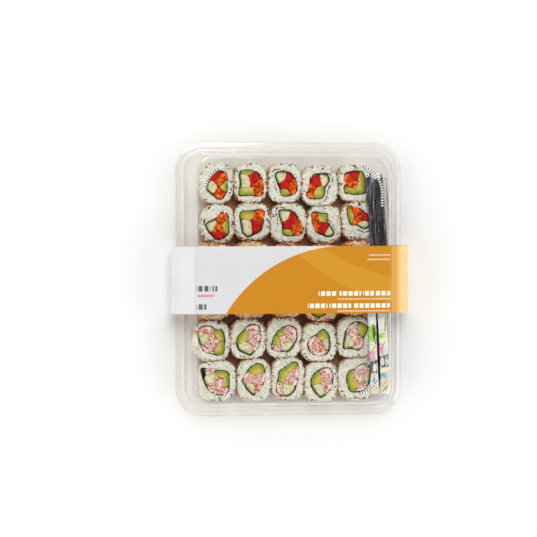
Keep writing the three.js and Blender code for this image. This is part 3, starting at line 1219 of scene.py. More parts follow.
    def _add_seaweed(self) -> None:
        """Add the seaweed round the core, and its outer end where that runs on in the rice."""
        ring = self._polar(self.nori_reach, self.top)
        lift = 0.05 + 0.25 * Ripple(self.seed + 1, 2.2).at(ring)
        thick = self.nori_thick * np.clip(1 + 1.1 * Ripple(self.seed + 2, 2.4).at(ring), 0.3, 2.8)
        inside_reach = self.nori_reach - thick
        rings = np.array([
            self._polar(self.nori_reach, self.bottom + 0.2),
            self._polar(self.nori_reach, self.top + lift - 0.15),
            self._polar(self.nori_reach - 0.12, self.top + lift),
            self._polar(inside_reach + 0.12, self.top + lift),
            self._polar(inside_reach, self.top + lift - 0.15),
            self._polar(inside_reach, self.bottom + 0.2),
        ])
        stack = Stack(rings)
        self.draft.add(stack.points, [stack.sides(joined=True)], NORI.material())
        if self.core.tail:
            self._add_tail()

    def _add_tail(self) -> None:
        """Add the seaweed's outer end as a thin wall that leaves the core and runs beside it."""
        start, end = (math.radians(edge + 180 * self.turned) for edge in self.core.tail)
        share = np.linspace(0, 1, 30)
        angles = start + (end - start) * share
        leave = np.minimum(share * 3.2, 1)
        room = self._at(angles, self.rice_reach) - self._at(angles, self.nori_reach)
        reach = self._at(angles, self.nori_reach) + np.minimum(3.4, room * 0.62) * leave**0.8
        flat = self._spots(angles, reach, 0.0)
        half = 0.34 * (1 - 0.6 * share**4) * np.clip(1 + 0.7 * Ripple(self.seed + 7, 2.0).at(flat), 0.4, 2)
        crest = self.top + 0.05 - 1.1 * np.clip(Ripple(self.seed + 6, 3.2).at(flat), 0, 1)
        corners = ((-1, crest - 3), (1, crest - 3), (1, crest), (-1, crest))
        rings = np.stack([self._spots(angles, reach + half * side, z) for side, z in corners], axis=1)
        if end < start:
            rings = rings[:, ::-1]
        self.draft.add(*capped(rings), NORI.material(), smooth=False)

    def _add_strips(self) -> None:
        """Add the strips of filling, each filling its share of the core."""
        ring = self._polar(self.nori_reach, self.bottom)
        room = self.nori_thick + 0.1 + 0.3 * np.clip(Ripple(self.seed + 4, 5.0).at(ring), 0, 1)
        flat = self._polar(self.nori_reach - room, 0)[:, :2]
        sign = -1 if self.turned else 1
        sites = np.array([(x, y) for _, x, y in self.core.strips]) * sign + self.centre
        for (filling, _, _), share in zip(self.core.strips, share_out(flat, sites, 0.16)):
            if len(share) < 3 or abs(signed_area(share)) < 1.5:
                continue
            if filling.shredded:
                self._add_shreds(filling, share)
            else:
                self._add_strip(filling, share, flat)

    def _add_strip(self, filling: Filling, share: Array, core: Array) -> None:
        """Add one solid strip that runs down through the roll.

        Args:
            filling: What it is made of.
            share: Its outline on the cut face.
            core: The outline of the whole core, where the strip's skin lies.
        """
        loop = even_loop(share, 36)
        for _ in range(2):
            loop = (np.roll(loop, 1, axis=0) + 2 * loop + np.roll(loop, -1, axis=0)) / 4
        loop = anticlockwise(loop)
        middle = loop.mean(axis=0)
        depth = filling.value.skin_depth
        radius = np.linalg.norm(loop - middle, axis=1).mean()
        top = self.top + self.draw.uniform(-0.45, 0.15)
        tilt = self.draw.normal(0, 0.02, 2)
        levels = (
            (0, self.bottom + 0.3, 0), (0, top - 0.4, 0.0), (0.1, top - 0.12, 0.0), (0.4, top, 0.03),
            (1.3, top + 0.04, 0.06), (0.3 * radius + 1.0, top + 0.06, 0.1), (0.72 * radius, top + 0.08, 0.12),
        )
        rings, rims = [], []
        lumps = Ripple(self.seed + 9, 2.6)
        for inset, z, rough in levels:
            ring = middle + (loop - middle) * max(0.06, 1 - inset / radius)
            flat = np.column_stack([ring, np.full(len(ring), z)])
            if z > top - 0.5:
                flat[:, 2] += lumps.at(flat) * rough + (ring - middle) @ tilt
            rings.append(flat)
            apart = np.linalg.norm(ring[:, None] - core[None], axis=2).min(axis=1)
            rims.append(np.clip(1.25 - apart / depth, 0, 1))
        self.draft.add(*capped(np.array(rings)), filling.value.material(), rim=np.concatenate(rims))

    def _add_shreds(self, filling: Filling, share: Array) -> None:
        """Add a bundle of shreds seen end on, with a few lying across its top.

        Args:
            filling: What the shreds are.
            share: The bundle's outline on the cut face.
        """
        spacing = 1.65
        sites = scattered_grid(share.min(axis=0) - 1, share.max(axis=0) + 1, spacing, self.draw)
        sites = sites[inside(share, sites)]
        if len(sites) < 2:
            sites = np.vstack([share.mean(axis=0), share.mean(axis=0) + [spacing, 0]])
        material = filling.value.material()
        for cell in share_out(share, sites, 0.1):
            if len(cell) < 3 or abs(signed_area(cell)) < 0.25:
                continue
            loop = anticlockwise(even_loop(cell, 7))
            middle = loop.mean(axis=0)
            top = self.top + self.draw.uniform(-2.6, 0.25)
            tilt = self.draw.normal(0, 0.3, 2)
            rings = []
            for scale, z in ((1, self.bottom + 0.3), (1, top - 0.55), (0.82, top - 0.12), (0.4, top)):
                ring = middle + (loop - middle) * scale
                lean = (ring - middle) @ tilt if z > top - 0.6 else 0
                rings.append(np.column_stack([ring, np.full(len(ring), z) + lean]))
            self.draft.add(*capped(np.array(rings)), material)
        self._lay_loose_shreds(material, share)

    def _lay_loose_shreds(self, material: Material, share: Array) -> None:
        """Lay a few short shreds across the top of a bundle.

        Args:
            material: The shreds' finish.
            share: The bundle's outline on the cut face.
        """
        kernel = Kernel((-0.42, -0.15, 0.15, 0.42), (0.36, 0.5, 0.5, 0.36), 6, bend=0.5)
        count = max(3, int(abs(signed_area(share)) / 3.2))
        centre = share.mean(axis=0)
        corners = share[self.draw.integers(0, len(share), count)]
        spots = centre + (corners - centre) * self.draw.uniform(0.1, 0.74, (count, 1))
        turn = self.draw.uniform(0, FULL_TURN, count)
        ways = compass(turn, self.draw.normal(0, 0.12, count))
        ups = np.tile([0.0, 0.0, 1.0], (count, 1))
        ranges = ((2.2, 4.2), (0.9, 1.4), (0.8, 1.2))
        size = np.column_stack([self.draw.uniform(least, most, count) for least, most in ranges])
        places = np.column_stack([spots, self.top - self.draw.uniform(0.0, 0.6, count)])
        self.draft.scatter(kernel, material, places, turned_axes(ways, ups, size))

    def scatter_sesame(self, black: Draft, gold: Draft, count: int, outward_at: float | None) -> None:
        """Scatter sesame over the roll's side and round its upper edge.

        Args:
            black: The piece that holds all black seeds.
            gold: The piece that holds all pale seeds.
            count: How many seeds the roll gets.
            outward_at: The direction in which seeds lie thicker, if there is one.
        """
        angles = self.draw.uniform(0, FULL_TURN, count)
        if outward_at is not None:
            crowded = count // 3
            angles[:crowded] = outward_at + self.draw.normal(0, 0.45, crowded)
        depth = self.draw.uniform(0, 1, count) ** 1.6 * min(self.side_depth, 13)
        on_top = self.draw.uniform(0, 1, count) < 0.15
        outward = compass(angles, np.zeros(count))
        side = self._at(angles, self.rice_reach)
        reach = np.where(on_top, side - self.draw.uniform(0.8, 3.4, count), side - 0.55)
        height = np.where(on_top, self.top + 0.05, self.top - 1.3 - depth)
        places = self._spots(angles, reach, height)
        up = np.array([0, 0, 1.0])
        ups = np.where(on_top[:, None], up + outward * 0.3, outward + up * 0.15)
        turn = self.draw.uniform(0, FULL_TURN, count)
        tangent = compass(angles + FULL_TURN / 4, np.zeros(count))
        ways = tangent * np.cos(turn)[:, None] + np.cross(ups, tangent) * np.sin(turn)[:, None]
        size = np.array(self.seed_size) * self.draw.uniform(0.8, 1.1, (count, 3))
        axes = turned_axes(ways, ups, size)
        kernel = Kernel((-0.4, -0.12, 0.25), (0.32, 0.5, 0.36), 5)
        pale = self.draw.uniform(0, 1, count) < 0.25
        for chosen, draft, finish in ((~pale, black, SESAME_BLACK), (pale, gold, SESAME_GOLD)):
            if chosen.any():
                draft.scatter(kernel, finish.material(), places[chosen], axes[chosen])

    def scatter_granules(self, draft: Draft) -> None:
        """Scatter small orange granules: all over a coated roll's side, a few on any other roll.

        An uncoated roll gets more of them on the side that faces a coated row.

        Args:
            draft: The piece that holds all granules.
        """
        angles, rise = self._side_grid(-min(self.side_depth, 12), 4.5, 1.75)
        over = np.clip(rise, 0, None)
        if self.coated:
            chance = np.where(over > 0, 0.7 - 0.3 * over, 0.92)
        else:
            facing = np.clip(np.cos(angles - self.spill), 0, 1) ** 2 if self.spill is not None else 0.0
            chance = 0.04 + 0.14 * self._pressed(angles) + 0.55 * facing
            chance = chance * np.where(over > 0, 0.42 - 0.15 * over, 1.0)
        kept = self.draw.uniform(0, 1, len(angles)) < chance
        angles, rise, over = angles[kept], rise[kept], over[kept]
        side = self._at(angles, self.rice_reach)
        reach = side - 0.35 - over - np.where(rise > -0.8, 0.35, 0)
        height = self.top + np.where(rise > 0, np.minimum(over, 1) * 0.2 - 0.25, rise - 0.6)
        places = self._spots(angles, reach, height)
        count = len(places)
        size = self.draw.uniform(0.9, 1.6, (count, 1)) * self.draw.uniform(0.8, 1.15, (count, 3))
        axes = turned_axes(self.draw.normal(size=(count, 3)), self.draw.normal(size=(count, 3)), size)
        draft.scatter(Kernel((-0.22, 0.24), (0.46, 0.4), 4), GRANULE.material(), places, axes)


@dataclass
class PlatterOfRolls:
    """Six rows of five rolls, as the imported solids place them."""

    rows: int = 6
    columns: int = 5
    press_gap: float = 0.1
    near: float = 62.0
    coated_rows: tuple[int, ...] = (3, 4)
    spilled_rows: dict[int, float] = field(default_factory=lambda: {2: -math.pi / 2, 5: math.pi / 2})
    open_rows: dict[int, float] = field(default_factory=lambda: {1: math.pi / 2, 6: -math.pi / 2})

    def build(self) -> None:
        """Make every roll, and one piece for each kind of topping scattered over them."""
        boxes = {}
        for row in range(1, self.rows + 1):
            for column in range(1, self.columns + 1):
                boxes[f"r{row}c{column}"] = in_millimetres(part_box(f"roll_r{row}c{column}"))
        black, gold, granules = Draft("sesame_black"), Draft("sesame_gold"), Draft("orange_granules")
        for number, (place, (low, high)) in enumerate(boxes.items()):
            row, column = int(place[1]), int(place[3])
            outer = row in (1, self.rows) or column in (1, self.columns)
            coated = row in self.coated_rows
            roll = Roll(
                Draft(f"roll_{place}_food"), CORES[HIDDEN_TWINS.get(place, place)], low, high,
                flats=self._flats(place, boxes), seed=100 + number * 17, coated=coated,
                side_depth=21.0 if outer else 9.0, rim_stain_and_shade=1.9 if coated else 2.6,
                turned=place in HIDDEN_TWINS, spill=self.spilled_rows.get(row),
            )
            roll.build()
            roll.scatter_granules(granules)
            roll.scatter_sesame(black, gold, 14 if coated else 84 - 6 * row, self.open_rows.get(row))
            roll.draft.finish("coated_rice" if coated else "rice", [f"roll_{place}"])
        black.finish("rice")
        gold.finish("rice")
        granules.finish("coated_rice")

    def _flats(self, place: str, boxes: dict[str, list[Array]]) -> list[tuple[float, float]]:
        """Find the flats where a roll is pressed against its neighbours.

        Args:
            place: The roll's row and column.
            boxes: Every roll's box.

        Returns:
            The direction of each flat and its distance from the roll's centre.
        """
        def square(box: list[Array], angle: float) -> float:
            """Measure how far a softly square box reaches at an angle."""
            half = (box[1] - box[0]) / 2
            return (abs(math.cos(angle) / half[0]) ** 3 + abs(math.sin(angle) / half[1]) ** 3) ** (-1 / 3)

        mine = boxes[place]
        flats = []
        for other, box in boxes.items():
            gap = (box[0] + box[1] - mine[0] - mine[1])[:2] / 2
            apart = float(np.hypot(*gap))
            if other == place or apart > self.near:
                continue
            angle = math.atan2(gap[1], gap[0])
            here, there = square(mine, angle), square(box, angle + math.pi)
            flats.append((angle, apart * here / (here + there) - self.press_gap))
        return flats


# ------ the tray


def tray_ring(half_x: float, low_y: float, high_y: float, radius: float, z: float) -> Array:
    """Draw a level rounded rectangle.

    Args:
        half_x: Half its width.
        low_y: Its low edge.
        high_y: Its high edge.
        radius: The radius of its corners.
        z: Its height.

    Returns:
        The ring's points, anticlockwise seen from above.
    """
    points = []
    steps = 14
    for corner, (sign_x, sign_y) in enumerate(((1, 1), (-1, 1), (-1, -1), (1, -1))):
        centre_x = sign_x * (half_x - radius)
        centre_y = high_y - radius if sign_y > 0 else low_y + radius
        for step in range(steps + 1):
            angle = (corner + step / steps) * math.pi / 2
            points.append((centre_x + radius * math.cos(angle), centre_y + radius * math.sin(angle), z))
    return np.array(points)


@dataclass
class ClearShell:
    """A thin shell of clear plastic, drawn from insets off the tray's outer edge."""

    node: str
    finish: ClearFinish
    slot: str
    corner: float = 27.0

    def __post_init__(self) -> None:
        """Read the shell's box."""
        low, high = in_millimetres(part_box(self.node))
        self.low, self.high = low, high

    def rings(self, profile: Sequence[SectionRow]) -> Array:
        """Draw the shell's rings.

        Args:
            profile: Rows of x inset, y inset, height and extra corner radius.

        Returns:
            The rings.
        """
        half_x, half_y = self.high[0], self.high[1]
        rows = []
        for inset_x, inset_y, z, extra in profile:
            radius = max(3.0, self.corner - (inset_x + inset_y) / 2 + extra)
            rows.append(tray_ring(half_x - inset_x, -half_y + inset_y, half_y - inset_y, radius, z))
        return np.array(rows)


@dataclass
class Base(ClearShell):
    """The shallow tray that the rolls stand in."""

    node: str = "tray_base"
    finish: ClearFinish = BASE_CLEAR
    slot: str = "clear_base"

    def build(self) -> None:
        """Make the base: floor, flared wall, a rounded turn and a beaded flange."""
        low, top = float(self.low[2]), float(self.high[2])
        below = (
            (16.2, low), (14.0, low + 0.05), (12.6, low + 0.7), (11.8, low + 2.2), (8.9, top - 2.6),
            (8.3, top - 1.3), (7.4, top - 0.6), (4.9, top - 0.5), (0.4, top - 0.5), (0.0, top - 0.4),
        )
        above = (
            (0.0, top - 0.12), (0.4, top), (4.9, top), (7.6, top - 0.1), (8.9, top - 1.2),
            (9.4, top - 2.6), (12.3, low + 2.4), (13.1, low + 1.1), (14.4, low + 0.5), (16.6, low + 0.45),
        )
        draft = Draft("base_shell")
        rings = self.rings([(inset, inset, z, 0) for inset, z in below + above])
        draft.add(*capped(rings), self.finish.material())
        draft.finish(self.slot, [self.node])


@dataclass
class Lid(ClearShell):
    """The clear lid: a beaded flange, steep walls, a rounded shoulder and a flat panel."""

    node: str = "lid"
    finish: ClearFinish = LID_CLEAR
    slot: str = "clear_lid"
    wall: float = 0.45
    foot: float = 8.6
    shoulder: tuple[float, float] = (15.2, 12.4)
    rib_radius: float = 29.0
    rib_pitch: float = 1.35
    rib_inset: float = 7.0
    rib_runs: tuple[tuple[int, int, float, float], ...] = (
        (1, 1, -12.0, 36.0), (-1, 1, 6.0, 31.0), (-1, -1, 36.0, 40.0), (1, -1, 16.0, 40.0),
    )

    def build(self) -> None:
        """Make the lid and the small ribs across its four corners."""
        draft = Draft("lid_shell")
        stack = Stack(self.rings(self._profile()))
        rows = np.arange(len(stack.rings) - 1)
        out = self.high[0] - stack.rings[:, 0, 0]
        on_flange = np.maximum(out[:-1], out[1:]) < self.foot + 0.5
        for chosen, finish in ((on_flange, FLANGE_CLEAR), (~on_flange, self.finish)):
            draft.add(stack.points, [stack.sides(levels=rows[chosen])], finish.material())
        draft.add(stack.points, [stack.cap(0), stack.cap(-1)], self.finish.material())
        self._add_corner_ribs(draft)
        draft.finish(self.slot, [self.node])

    def _profile(self) -> list[SectionRow]:
        """Work out the lid's section, from the panel's underside out and back over the top.

        Returns:
            Rows of x inset, y inset, height and extra corner radius.
        """
        flange, top = float(self.low[2]), float(self.high[2])
        sx, sy = self.shoulder
        edge = (
            (0.0, 0.35), (0.5, 0.6), (3.0, 0.62), (3.7, 1.25), (4.9, 1.4), (5.9, 1.2), (6.6, 0.6),
            (self.foot - 1, 0.65), (self.foot, 1.5),
        )
        upper = [(inset, inset, flange + rise, 0) for inset, rise in edge]
        steps = 5
        for step in range(1, steps + 1):
            share = step / steps
            upper.append((
                self.foot + (sx - self.foot) * share, self.foot + (sy - self.foot) * share,
                flange + 1.5 + (top - 2.8 - flange - 1.5) * share, 5 * share,
            ))
        for step in range(1, 5):
            angle = step / 4 * math.pi / 2
            inset = 2.6 * (1 - math.cos(angle))
            upper.append((sx + inset, sy + inset, top - 2.8 + 2.8 * math.sin(angle), 5))
        wall = self.wall
        lower = [(x + wall, y + wall, z - wall, extra) for x, y, z, extra in reversed(upper[8:])]
        lower += [(x, y, z - wall, extra) for x, y, z, extra in reversed(upper[1:8])]
        lower.append((0.1, 0.1, flange, 0))
        return lower + upper

    def _add_corner_ribs(self, draft: Draft) -> None:
        """Add the row of short raised bars that crosses each corner of the panel, by turns painted pale as
        glints and painted dark as shade.

        Each run starts and ends that far round the corner from where its arc leaves the panel's long side.

        Args:
            draft: The lid's piece.
        """
        half_x = self.high[0] - self.shoulder[0] - 2.6 - self.rib_inset - self.rib_radius
        half_y = self.high[1] - self.shoulder[1] - 2.6 - self.rib_inset - self.rib_radius
        kernel = Kernel((-0.4, 0.0, 0.4), (0.36, 0.5, 0.36), 8)
        for sign_x, sign_y, start, end in self.rib_runs:
            run = np.arange(start, end, self.rib_pitch)
            angle = np.maximum(run, 0) / self.rib_radius
            zero = np.zeros(len(run))
            ways = compass(angle, zero) * [sign_x, sign_y, 0]
            across = (half_x + self.rib_radius * np.cos(angle)) * sign_x
            along = (half_y + np.minimum(run, 0) + self.rib_radius * np.sin(angle)) * sign_y
            places = np.column_stack([across, along, zero + self.high[2] - 0.05])
            ups, size = (np.tile(row, (len(run), 1)) for row in ([0.0, 0, 1.0], [3.0, 1.2, 0.8]))
            axes = turned_axes(ways, ups, size)
            # Every other rib is a painted glint, the rest painted shade.
            for first, finish in enumerate(RIB_GLINT_AND_SHADE):
                draft.scatter(kernel, finish.material(), places[first::2], axes[first::2])


@dataclass
class Liner:
    """The thin dark brown film on the tray's floor."""

    node: str = "floor_liner"
    corner: float = 10.0
    shy: float = 4.0

    def build(self) -> None:
        """Make the film, faintly wavy, with a rounded edge."""
        low, high = in_millimetres(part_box(self.node))
        rows = []
        for inset, z in ((0.3, low[2]), (0, low[2] + 0.1), (0, high[2] - 0.1), (0.3, high[2])):
            half_x = high[0] - self.shy - inset
            rows.append(tray_ring(half_x, low[1] + inset, high[1] - inset, self.corner - inset, z))
        for share in (0.9, 0.7, 0.5, 0.3, 0.1):
            ring = rows[3].copy()
            ring[:, :2] = ring[:, :2] * share
            ring[:, 2] = high[2] + 0.12 * Ripple(3, 24).at(ring) - 0.06
            rows.append(ring)
        shader = Shader("brown_floor_film")
        look = Mottle(patch=14, grain=1.5, smooth=0.28, rough=0.5, relief=0.08)
        colour = look.apply(shader, paint(240, 184, 134), paint(220, 158, 110))
        shader.set(Base_Color=colour)
        draft = Draft("floor_film")
        draft.add(*capped(np.array(rows)), shader.material)
        draft.finish("brown_floor", [self.node])


# ------ the sleeve


@dataclass
class CardPrint:
    """The sleeve's print, laid out on x across the pack and y along it, in millimetres."""

    shader: Shader
    x: Socket
    y: Socket
    field_centre: tuple[float, float] = (51.6, -107.3)
    field_radius: float = 141.0
    corner: float = 0.8

    def colour(self, white: Socket) -> Socket:
        """Colour the print: an orange field with a curved edge, and rows of plain dashes.

        Args:
            white: The bare card's colour.

        Returns:
            The colour.
        """
        shader = self.shader
        colour = shader.mix(self._field_mask(), white, self._orange())
        for *box, ink, strength in self._bars():
            pitch = 5.6 if box[3] - box[2] > 3 else 2.6
            tooth = shader.sum("SINE", shader.sum("MULTIPLY", self.x, FULL_TURN / pitch))
            broken = shader.sum("MULTIPLY", self._bar_mask(box), shader.measure(tooth, -0.85, -0.6))
            colour = shader.mix(shader.sum("MULTIPLY", broken, strength), colour, ink)
        return colour

    def _field_mask(self) -> Socket:
        """Mask the orange field: inside a great circle, and straight on from its crown."""
        side = self.shader.sum("MINIMUM", self.shader.sum("SUBTRACT", self.x, self.field_centre[0]))
        rise = self.shader.sum("SUBTRACT", self.y, self.field_centre[1])
        apart = self.shader.sum("SQRT", self.shader.squares(side, rise))
        return self.shader.measure(apart, self.field_radius + 0.15, self.field_radius - 0.15)

    def _orange(self) -> Socket:
        """Colour the orange field: a lighter band sweeps through it, and past the crease it is painted
        lighter and then pale down the bulge, as painted highlight on the side that catches the light.
        """
        shader, x = self.shader, self.x
        deep, mid, side = paint(201, 132, 16), paint(208, 146, 34), paint(214, 152, 32)
        wave = shader.sum("SINE", shader.sum("MULTIPLY", x, 0.035))
        swing = shader.sum("ADD", self.y, shader.sum("MULTIPLY", wave, 7.0))
        line = shader.sum("ADD", shader.sum("MULTIPLY", x, 0.55), swing)
        band = shader.sum("MULTIPLY", shader.measure(line, 28.0, 30.0), shader.measure(line, 56.0, 52.0))
        # Past the crease the side is painted a lighter orange, then pales down the bulge: painted highlight.
        turned = shader.mix(shader.measure(x, 98.9, 100.1), shader.mix(band, deep, mid), side)
        return shader.mix(shader.measure(x, 103.0, 112.0), turned, paint(242, 204, 138))

    @staticmethod
    def _bars() -> list[tuple[float, float, float, float, Colour, float]]:
        """List the rows of dashes: low x, high x, low y, high y, colour and strength."""
        ink, rose, cream = paint(62, 62, 66), paint(214, 92, 112), paint(252, 244, 226)
        spans = ((-98, -92), (-90, -84), (-82, -77))
        bars = [(low_x, high_x, -11, -5.5, ink, 0.9) for low_x, high_x in spans]
        bars += [(-97, -80, -16.5, -14.2, rose, 0.9), (-98, -88, -29, -23.5, ink, 0.85)]
        for low_x, high_x in ((25, 44), (46, 68), (70, 81), (83, 98)):
            bars.append((low_x, high_x, -16.0, -11.5, cream, 0.95))
        for low_x, high_x in ((14, 34), (36, 58), (60, 97.5)):
            bars.append((low_x, high_x, -28.2, -23.7, cream, 0.95))
        for low_x, high_x, middle in ((44, 98, -19.4), (44, 97.5, -31.2), (76, 98, 24.4), (74, 98, 20.0)):
            bars.append((low_x, high_x, middle - 0.7, middle + 0.7, cream, 0.6))
        return bars

    def _bar_mask(self, box: Sequence[float]) -> Socket:
        """Mask a bar with softly rounded ends, given its low x, high x, low y and high y."""
        shader, overs = self.shader, []
        for value, low, high in ((self.x, *box[:2]), (self.y, *box[2:])):
            off = shader.sum("ABSOLUTE", shader.sum("SUBTRACT", value, (low + high) / 2))
            overs.append(shader.sum("MAXIMUM", shader.sum("SUBTRACT", off, (high - low) / 2 - self.corner)))
        return shader.measure(shader.squares(*overs), 0.8, 0.45)


@dataclass
class Sleeve:
    """The printed card band that holds the pack shut."""

    node: str = "sleeve"
    card: float = 0.42
    top_half: float = 99.5
    foot_half: float = 100.0
    bulge_at: float = 20.0
    lengthwise: int = 26

    def build(self) -> None:
        """Make the band and print its outer face."""
        low, high = in_millimetres(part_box(self.node))
        self.low, self.high = low, high
        rows = np.linspace(low[1], high[1], self.lengthwise)
        draft = Draft("card_sleeve")
        skins = []
        for loop in (self._loop(0.02), self._loop(self.card)):
            sheet = np.array([np.column_stack([loop[:, 0], np.full(len(loop), y), loop[:, 1]]) for y in rows])
            skins.append(self._relax(sheet))
        outer_stack, inner_stack = Stack(skins[0]), Stack(skins[1])
        draft.add(outer_stack.points, [outer_stack.sides()[:, ::-1]], self._print())
        board = self._board()
        draft.add(inner_stack.points, [inner_stack.sides()], board)
        for end in (0, -1):
            edge = Stack(np.array([skins[0][end], skins[1][end]]))
            faces = edge.sides() if end == 0 else edge.sides()[:, ::-1]
            draft.add(edge.points, [faces], board, smooth=False)
        draft.finish("printed_card", [self.node])

    def _loop(self, inset: float) -> Array:
        """Draw the band's section.

        Args:
            inset: How far in from its outer face it is drawn.

        Returns:
            The section's points in x and z.
        """
        height = float(self.high[2])
        bulge = float(self.high[0])
        knots = np.array([
            (self.foot_half, inset), (bulge - 6 - inset, self.bulge_at - 12),
            (bulge - 1.4 - inset, self.bulge_at - 6), (bulge - inset, self.bulge_at),
            (bulge - 1.6 - inset, self.bulge_at + 6),
            (bulge - 9.5 - inset, self.bulge_at + 13.5), (self.top_half, height - inset),
        ])
        ends = np.vstack([knots[:1], knots, knots[-1:]])
        side = np.vstack([smooth_span(ends[i : i + 4], 6) for i in range(len(knots) - 1)] + [knots[-1:]])
        flat = np.linspace(self.top_half, -self.top_half, 40)[1:-1]
        under = np.linspace(-self.foot_half, self.foot_half, 20)[1:-1]
        top = np.column_stack([flat, np.full(len(flat), height - inset)])
        foot = np.column_stack([under, np.full(len(under), inset)])
        return np.vstack([side, top, (side * [-1, 1])[::-1], foot])

    def _relax(self, sheet: Array) -> Array:
        """Let the card bow a little between its creases and sag on top.

        Args:
            sheet: The card's points, in rows along the pack.

        Returns:
            The same points, moved.
        """
        x, y, z = sheet[..., 0], sheet[..., 1], sheet[..., 2]
        middle = (self.low[1] + self.high[1]) / 2
        edge = np.abs(y - middle) / ((self.high[1] - self.low[1]) / 2)
        side = np.clip((np.abs(x) - self.top_half - 2) / 10, 0, 1)
        wave = Ripple(61, 30).at(sheet.reshape(-1, 3)).reshape(x.shape)
        pull = 0.35 * side * (1 - edge**2) + 0.1 * side * wave
        sheet[..., 0] = x - np.sign(x) * np.abs(pull)
        on_top = (z > self.high[2] - 1) & (np.abs(x) < self.top_half - 3)
        sag = 0.09 * np.abs(Ripple(62, 70).at(sheet.reshape(-1, 3))).reshape(x.shape)
        sheet[..., 2] = z - np.where(on_top, sag, 0)
        return sheet

    def _board(self) -> Material:
        """Make the bare board of the inner face and the cut edges."""
        shader = Shader("sleeve_board")
        look = Mottle(patch=6, grain=0.4, smooth=0.7, rough=0.9, relief=0.03)
        colour = look.apply(shader, paint(226, 222, 212), paint(210, 205, 193))
        shader.set(Base_Color=colour)
        return shader.material

    def _print(self) -> Material:
        """Make the printed face, which is bare white low down on the sides."""
        shader = Shader("sleeve_print")
        look = Mottle(patch=30, grain=0.5, smooth=0.3, rough=0.42, relief=0.012)
        white = look.apply(shader, paint(217, 217, 218), paint(213, 213, 215))
        split = wired(shader.tree, "ShaderNodeSeparateXYZ", {0: shader.place()}).outputs
        x, y, z = (shader.sum("DIVIDE", split[axis], METRE) for axis in "XYZ")
        printed = CardPrint(shader, x, y).colour(white)
        colour = shader.mix(shader.measure(z, 4.0, 5.0), white, printed)
        shader.set(Base_Color=colour, Coat_Weight=0.25, Coat_Roughness=0.2)
        return shader.material


# ------ chopsticks and sachets


